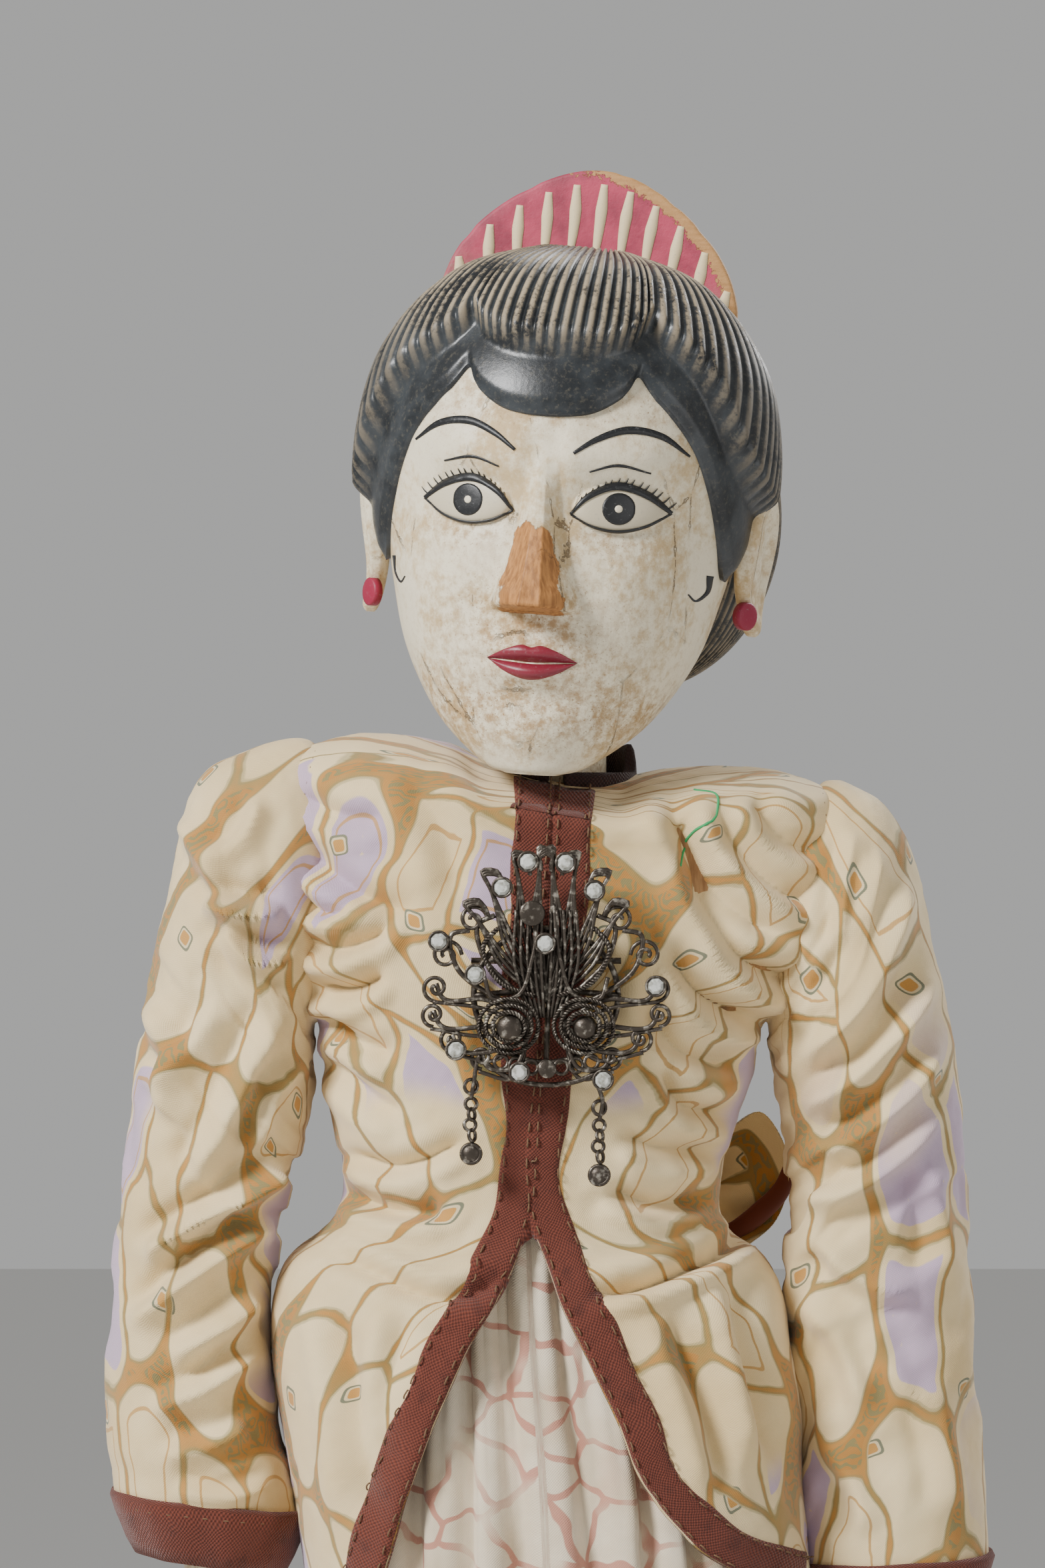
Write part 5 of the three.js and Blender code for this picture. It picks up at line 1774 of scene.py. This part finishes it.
def twisted(points, radius=0.42, pitch=1.5, lift=0.5, count=90):
    """Two fine wires twisted together along a line."""
    laid = through([at_brooch(p[0], p[1], lift + (p[2] if len(p) > 2 else 0)) for p in points], count)
    a, b = frames_along(laid)
    along = np.concatenate([[0], np.cumsum(np.linalg.norm(np.diff(laid, axis=0), axis=1))])
    parts = []
    for phase in (0, math.pi):
        turn = (2 * math.pi * along / pitch + phase)[:, None]
        parts.append(wire(laid + (a * np.cos(turn) + b * np.sin(turn)) * radius * 0.75, radius * 0.75,
            sides=6, count=count * 2))
    return parts


def collet(x, z, lift, radius=1.9):
    """A turned cup, and a cut stone that sits in it."""
    front = (0, -1, 0)
    cup = lathe([(radius * 0.5, -1.0), (radius * 0.95, -0.6), (radius * 1.08, 0.5), (radius * 1.04, 0.95),
        (radius * 0.86, 0.95), (radius * 0.8, 0.3)], at_brooch(x, z, lift), front, 20)
    centre = at_brooch(x, z, lift + 0.35)
    stone = lathe([(radius * 0.8, -0.1), (radius * 0.84, 0.35), (radius * 0.5, 0.95)], centre, front, 8)
    return cup, stone


def disc_plate(x, z, lift, radius):
    return lathe([(radius * 0.9, -0.35), (radius, -0.1), (radius, 0.25), (radius * 0.86, 0.4)],
        at_brooch(x, z, lift), (0.1, -1, 0.05), 22)


STONE_PLACES = [  # x, z from the brooch's middle, and lift
    (-3.4, 22.0, 1.8), (3.6, 21.8, 1.8), (-8.2, 17.2, 1.8), (9.0, 16.6, 1.8), (-20.0, 7.2, 1.6), (-0.2, 6.8,
        3.0),
    (20.4, -1.2, 1.6), (-16.8, -13.0, 1.8), (-5.0, -17.2, 2.2), (10.6, -18.6, 2.0), (-13.2, 1.0, 1.2),
]


def make_brooch():
    """A fan of bent wires over a ring of scrolls and petals, set with paste stones."""
    parts = []
    for sign in (1, -1):
        for angle, length, curl in ((0.05, 26.5, 2.6), (0.22, 26.0, 2.7), (0.46, 24.6, 2.7),
            (0.70, 21.5, 2.6)):
            parts += plume(sign, angle, length, curl, 0.6)
        parts.append(brooch_wire([(0, -6, 0.4), (sign * 7, -1, 1.2), (sign * 12, 5, 1.2),
            (sign * 12.5, 10.5, 1), (sign * 9.5, 12, 1)], 0.5, count=50))
        parts.append(brooch_wire([(0, -6, 0.2), (sign * 10, -3, 0.9), (sign * 17, 3, 1.0),
            (sign * 17.5, 8.5, 1), (sign * 14.2, 9.2, 1)], 0.5, count=50))
        parts.append(spiral((sign * 13.6, 11.2), math.pi / 2 * (1 + sign), 1.5, 2.7, 1.2, sign=-sign))
        parts.append(spiral((sign * 18.6, 4.6), math.pi / 2 * (1 + sign), 1.6, 2.9, 1.0, sign=-sign))
        for reach, drop, roll in ((20.5, -1.5, 2.6), (21.0, -6.5, 2.3), (17.5, -11.0, 2.4),
            (12.0, -14.5, 2.2)):
            tip = (sign * reach, drop)
            parts.append(brooch_wire([(sign * 3, -8, 0.3), (sign * reach * 0.55, drop - 2.2, 1.4),
                (sign * (reach - 1), drop - 1.6, 1.2), (sign * reach, drop + 0.8, 1.1)], 0.48, count=44))
            parts.append(brooch_wire([(sign * 3, -9, 0.2), (sign * reach * 0.55, drop - 4.0, 1.0),
                (sign * (reach + 0.6), drop - 2.6, 1.0)], 0.4, count=36))
            parts.append(spiral(tip, -math.pi / 2, 1.4, roll, 1.2, sign=sign))
        for ring, height in ((5.6, 2.4), (4.3, 3.4), (3.0, 4.2)):
            loop = [(sign * 7.0 + ring * math.cos(t), -8.6 + ring * 0.9 * math.sin(t),
                height + 0.9 * math.sin(t)) for t in np.linspace(0, 2 * math.pi, 16)]
            parts += twisted([(p[0], p[1], p[2] - 0.5) for p in loop], 0.34, 1.3)
        parts.append(brooch_wire([(sign * 1.4, 14, 1.6), (sign * 2.6, 4, 2.6), (sign * 5.5, -3, 2.6),
            (sign * 10, -3.5, 2.4), (sign * 11.5, 0.5, 2.2)], 0.42, count=50))
        for k in range(5):
            spread = 0.9 + 1.25 * k
            parts.append(brooch_wire([(sign * spread * 0.45, -7, 1.4), (sign * spread, 3, 2.2),
                (sign * spread * 0.95, 13, 1.8)], 0.34, sides=6, count=24))
        parts += twisted([(sign * 2.2, -3, 1.6), (sign * 8.5, -0.5, 2.0), (sign * 11.6, 6.5, 1.6),
            (sign * 9.0, 9.6, 1.2)], 0.36, 1.3)
    for k in range(7):
        x = -8.4 + 2.8 * k
        parts.append(torus(at_brooch(x, -16.4 + 0.05 * x * x * 0.3, 1.2), 1.3, 0.36, (0.2, -1, 0.1), 7, 18))
    parts.append(brooch_wire([(-12, -15.2, 0.9), (-6, -18.6, 1.2), (0, -19.6, 1.2), (6, -18.8, 1.2),
        (12, -16.0, 0.9)], 0.5, count=50))
    for side in SIDES:
        hang = pivot(f"drop_swing_{side}") - BROOCH_MIDDLE
        start = (hang[0] * 0.92, hang[2] + 7.5)
        parts.append(brooch_wire([(*start, 1.0), (hang[0] + 0.6, hang[2] + 3.4, 1.2),
            (hang[0], hang[2] - 0.2, 0.6)], 0.42, count=20))
        parts.append(torus(at_brooch(hang[0], hang[2] + 2.2, 0.9), 1.3, 0.36, (0.4, -1, 0), 7, 18))
    parts.append(disc_plate(-2.6, 12.4, 3.2, 2.4))
    parts.append(disc_plate(0.2, -16.6, 2.8, 1.7))
    parts.append(lathe([(1.2, -1.2), (2.6, -0.4), (2.2, 0.9), (0.8, 1.5)], at_brooch(-6.8, -8.8, 4.0),
        (0, -1, 0), 18))
    parts.append(lathe([(1.0, -1.2), (2.3, -0.4), (1.9, 0.7), (0.7, 1.1)], at_brooch(7.2, -8.8, 3.8),
        (0, -1, 0), 18))
    parts += backing()
    stones = []
    for x, z, lift in STONE_PLACES:
        cup, stone = collet(x, z, lift)
        parts.append(cup)
        stones.append(stone)
    verts, faces = joined(parts)
    mesh("brooch_wires", verts, faces, SILVER, "torso", ["brooch_frame"])
    for k, (verts, faces) in enumerate(stones):
        mesh(f"stone_{k + 1}", verts, faces, STONE, "torso", [f"brooch_stone_{k + 1}"],
            smooth=False)


def backing():
    """The flat wire ring and bars that carry everything."""
    loop = [(13.5 * math.cos(t), -3 + 12.5 * math.sin(t), -0.6) for t in np.linspace(0, 2 * math.pi, 24)]
    bars = [[(-13.5, -3, -0.6), (0, -2, -0.4), (13.5, -3, -0.6)],
        [(0, 9.5, -0.6), (0.4, -3, -0.4), (0, -15.5, -0.6)]]
    return [brooch_wire(loop, 0.6, count=90)] + [brooch_wire(b, 0.6, count=20) for b in bars]


make_brooch()


def make_drop(side):
    """Linked wire rings and a small rimmed disc, on the drop's own body."""
    low, high = node_box(f"drop_chain_{side}")
    cup_low, cup_high = node_box(f"drop_stone_{side}")
    x, y = (low[0] + high[0]) / 2, (low[1] + high[1]) / 2 - 0.5
    count, ring = 4, (high[2] - low[2]) / 7.2
    parts = []
    for k in range(count):
        z = high[2] - ring - k * ring * 1.72
        normal = (0.15, -1, 0.1) if k % 2 == 0 else (0.85, -0.55, 0.1)
        parts.append(torus((x + 0.2 * math.sin(2.5 * k), y, z), ring * 0.95, 0.36, normal, 8, 22))
    verts, faces = joined(parts)
    mesh(f"drop_rings_{side}", verts, faces, SILVER, f"brooch_drop_{side}",
        [f"drop_chain_{side}"])
    middle = (cup_low + cup_high) / 2 - [0, 0.5, 0]
    rim = torus(middle, 1.75, 0.42, (0, -1, 0), 8, 26)
    plate = lathe([(1.2, -0.3), (1.7, -0.1), (1.5, 0.35), (0.5, 0.55)], middle, (0, -1, 0), 20)
    verts, faces = joined([rim, plate])
    mesh(f"drop_disc_{side}", verts, faces, SILVER, f"brooch_drop_{side}",
        [f"drop_stone_{side}"])


for each_side in SIDES:
    make_drop(each_side)


# ---------------------------------------------------------------- arms, hands and wood


def tapered(path, radii, sides=40, flat=1.0, detail=0.15):
    """A carved limb through a path, with tool marks."""
    line = through(path, 60)
    radius = curve(np.linspace(0, 1, len(radii)), np.array(radii, float), np.linspace(0, 1, 60))
    a, b = frames_along(line)
    turn = np.linspace(0, 2 * np.pi, sides, endpoint=False)
    rings = line[:, None] + radius[:, None, None] * (
        a[:, None] * np.cos(turn)[None, :, None] + b[:, None] * np.sin(turn)[None, :, None] * flat
    )
    rings = rings + detail * noise(rings, 5.0)[..., None] * (rings - line[:, None]) / radius[:, None,
        None].clip(0.5)
    return capped(rings, flip=True)


def make_hand(side):
    """A forearm with bangles and a stylised hand: straight fingers laid together, thumb apart."""
    low, high = node_box(f"forearm_{side}")
    out = SIDES[side]
    x, top = (low[0] + high[0]) / 2, high[2]
    tip = low[2]
    wrist = tip + 40
    parts = [tapered([(x, 0, top), (x, 0, (top + wrist) / 2), (x, 0, wrist)],
        [3.5, 6.2, 6.8, 6.6, 5.6, 5.0, 4.8])]
    parts.append(tapered([(x, 0, wrist + 1), (x, 0, wrist - 8), (x, 0, wrist - 18)],
        [4.8, 5.4, 6.6, 6.8, 6.0], flat=0.62))
    for k in range(4):
        fy = (k - 1.5) * 3.1
        length = (20.5, 22, 21, 17.5)[k]
        base = wrist - 15
        parts.append(tapered([(x, fy, base), (x + out * 0.6, fy * 1.02, base - length * 0.5),
            (x - out * 0.8, fy * 0.9, base - length)], [1.9, 1.9, 1.75, 1.6, 0.9], 16, detail=0.05))
    parts.append(tapered([(x, -5, wrist - 6), (x - out * 1.5, -8.6, wrist - 14),
        (x - out * 1.2, -8.4, wrist - 22)], [2.2, 2.1, 1.8, 1.0], 16, detail=0.05))
    verts, faces = joined(parts)
    obj = mesh(f"carved_hand_{side}", verts, faces, PAINT, f"forearm_{side}",
        [f"forearm_{side}"])
    paint(obj, "worn", smoothstep(wrist - 26, wrist - 34, verts[:, 2]) * 0.55)
    paint(obj, "aged", np.full(len(verts), 0.35))
    bands = []
    for z, grown in ((wrist + 4, 1.0), (wrist + 7.2, 1.4), (wrist + 10.4, 1.0)):
        bands.append(torus((x, 0, z), 5.2, 0.7 * grown, (0, 0, 1), 12, 48))
    verts, faces = joined(bands)
    mesh(f"bangles_{side}", verts, faces, DOT, f"forearm_{side}")


for each_side in SIDES:
    make_hand(each_side)


WOOD_INSET, BLOCK_LOW, BLOCK_HIGH = 3.4, 416.5, 521.0


def make_torso():
    """The carved torso block: flat shoulders, a waist, and knife marks."""
    turn = np.linspace(0, 2 * math.pi, 120, endpoint=False)
    rings = []
    for z in np.concatenate([np.linspace(BLOCK_LOW, 508, 70),
        508 + 8 * np.sin(np.linspace(0.1, 1, 14) * math.pi / 2)]):
        level = min(max(z, 441), 508)
        x, y = body_section(np.full(turn.shape, level), turn)
        middle = x.mean()
        shrink = 1 - 0.10 * smoothstep(441, 425, z) - 0.35 * smoothstep(510, BLOCK_HIGH, z) ** 2
        half = (x.max() - x.min()) / 2
        x = middle + (x - middle) * shrink * (half - WOOD_INSET) / half
        y = y * shrink * (1 - WOOD_INSET / 26)
        rings.append(np.stack([x, y, np.full(turn.shape, z)], 1))
    rings = np.array(rings)
    rings = rings + 0.25 * noise(rings, 6.0)[..., None] * [1, 1, 0]
    verts, faces = capped(rings)
    mesh("torso_wood", verts, faces, WOOD, "torso", ["torso_block"])


make_torso()


def make_upper_arms():
    """Slim turned sticks between the shoulder and elbow cords."""
    for side in SIDES:
        shoulder, elbow = pivot(f"shoulder_swing_{side}"), pivot(f"elbow_bend_{side}")
        along = (elbow - shoulder) / np.linalg.norm(elbow - shoulder)
        verts, faces = tapered([shoulder + along * 3, (shoulder + elbow) / 2, elbow - along * 4],
            [2.4, 4.6, 5.4, 5.8, 5.6, 5.0, 2.8])
        obj = mesh(f"arm_stick_{side}", verts, faces, PAINT, f"upper_arm_{side}",
            [f"upper_arm_{side}"])
        paint(obj, "worn", np.zeros(len(verts)))
        paint(obj, "aged", np.full(len(verts), 0.3))


make_upper_arms()


def restyle(names, material):
    """Gives CAD nodes that keep their own shape a procedural finish."""
    for name in names:
        data = bpy.data.objects[name].data
        data.materials.clear()
        data.materials.append(material)


restyle(["main_rod"], ROD_WOOD)
restyle(["rod_washer"], LEATHER)
restyle(["brooch_pin"], SILVER)
restyle(["waist_tie"] + [f"{n}_{s}" for n in ("shoulder_cord", "elbow_cord", "hand_tie") for s in SIDES],
    TWINE)
restyle([f"hand_rod_{s}" for s in SIDES], BAMBOO)


# ---------------------------------------------------------------- small sewing


def make_loose_thread():
    """A green thread end that lies on the left shoulder."""
    line = through([(27.5, 519.5), (31.5, 518.5), (30.8, 514.5), (27.4, 512), (25.0, 508.5), (24.2, 505.5)],
        30)
    points = [on_jacket(x, z, 0.45)[0] for x, z in line]
    verts, faces = wire(points, 0.28, sides=7, count=60)
    mesh("green_thread", verts, faces, GREEN_THREAD, "torso")


make_loose_thread()


ARMHOLE_SEAMS = {
    "right": [(-45.5, 527.5), (-47, 521), (-48.5, 514), (-49, 506)],
    "left": [(53.2, 519.5), (53.8, 512), (53.4, 503), (52.4, 494), (50.5, 486)],
}


def make_armhole_stitches():
    """Small stitches where the sleeves are gathered into the armholes."""
    for side, line in ARMHOLE_SEAMS.items():
        inset = [(x - SIDES[side] * 1.4, z) for x, z in line]
        laid = [on_jacket(x, z, 0.15) for x, z in through(inset, 50)]
        points, normals = (np.array(v) for v in zip(*laid))
        verts, faces = joined(stitch_row(points, normals, 2.6, 1.3, 0.15))
        mesh(f"armhole_stitches_{side}", verts, faces, THREAD, "torso")


make_armhole_stitches()


def make_back_fold():
    """A turned-out corner of the back's cloth, bound in brown, behind the left of the waist."""
    corner = through([(31, 446), (35, 454), (41, 457.5), (45.5, 452), (46.5, 443), (44, 436), (38, 431)], 40)
    rows, cols = 40, 16
    grid = np.zeros((rows, cols, 3))
    for r, (x, z) in enumerate(corner):
        for c, share in enumerate(np.linspace(0.12, 1, cols)):
            depth = 17 + 5 * (1 - share) + 1.2 * math.sin(r * 0.35 + share * 3)
            grid[r, c] = [29 + (x - 29) * share, depth, 441 + (z - 441) * share]
    grid = grid[:, ::-1]
    uv = arc_uv(grid) + [140, 60]
    cloth_piece("back_fold", grid, uv, BATIK, "torso", 0.5, False)
    trim = [(31.5, 433), (36, 434.5), (41, 438), (45.5, 443), (46.8, 447)]
    line = through([(x, 16.5, z) for x, z in trim], 40)
    verts, faces = wire(line, 1.5 + 0.9 * np.sin(np.linspace(0, math.pi, 60)), sides=14, count=60, flat=0.5)
    mesh("back_fold_binding", verts, faces, BINDING, "torso")


make_back_fold()


def make_skirt_stitches():
    """A dark line sewn across the skirt's front."""
    tree = BVHTree.FromPolygons(SKIRT_GRID.reshape(-1, 3).tolist(),
        grid_faces(SKIRT_ROWS, SKIRT_COLS, True, flip=True).tolist())
    line = through([(-17, 406.5), (-9, 403.5), (0, 402.0), (8, 402.6), (16, 404.5)], 60)
    points, normals = [], []
    for x, z in line:
        hit, normal = tree.ray_cast(Vector((x, -90, z)), Vector((0, 1, 0)))[:2]
        points.append(np.array(hit))
        normals.append(-np.array(normal) if normal.y > 0 else np.array(normal))
    verts, faces = joined(stitch_row(np.array(points), np.array(normals), 3.2, 2.5, 0.17, 0.1))
    mesh("skirt_stitches", verts, faces, BLACK_THREAD, "torso")


make_skirt_stitches()


# ---------------------------------------------------------------- stage and camera


def studio():
    """A pale floor, a pale room light and three soft lamps."""
    data = bpy.data.meshes.new("floor")
    size = 6.0
    data.from_pydata([(-size, -size, 0), (size, -size, 0), (size, size, 0), (-size, size, 0)], [],
        [(0, 1, 2, 3)])
    floor = bpy.data.objects.new("floor", data)
    bpy.context.collection.objects.link(floor)
    f = Finish("floor", colour=(0.72, 0.71, 0.69), roughness=0.9)
    data.materials.append(f.material)
    world = bpy.data.worlds.new("room")
    bpy.context.scene.world = world
    world.use_nodes = True
    world.node_tree.nodes["Background"].inputs[0].default_value = (0.86, 0.86, 0.85, 1)
    world.node_tree.nodes["Background"].inputs[1].default_value = 0.5
    for name, place, size, power in (
        ("key", (-0.95, -0.85, 1.30), 0.36, 36),
        ("fill", (1.1, -0.9, 0.6), 0.8, 3.5),
        ("rim", (0.7, 0.9, 1.2), 0.5, 10),
    ):
        lamp = bpy.data.lights.new(name, "AREA")
        lamp.energy, lamp.size = power, size
        obj = bpy.data.objects.new(name, lamp)
        obj.location = place
        obj.rotation_euler = (Vector((0, 0, 0.5)) - Vector(place)).to_track_quat("-Z", "Y").to_euler()
        bpy.context.collection.objects.link(obj)


def camera():
    """Level with the chest, a long lens, from the crown down to the cuffs."""
    data = bpy.data.cameras.new("camera")
    obj = bpy.data.objects.new("camera", data)
    bpy.context.collection.objects.link(obj)
    distance, seen_height = 1.3, 0.300
    obj.location = (-0.005, -distance, 0.521)
    obj.rotation_euler = (math.radians(90), 0, 0)
    data.sensor_width = 36
    data.lens = 36 * distance / seen_height
    bpy.context.scene.camera = obj


studio()
camera()
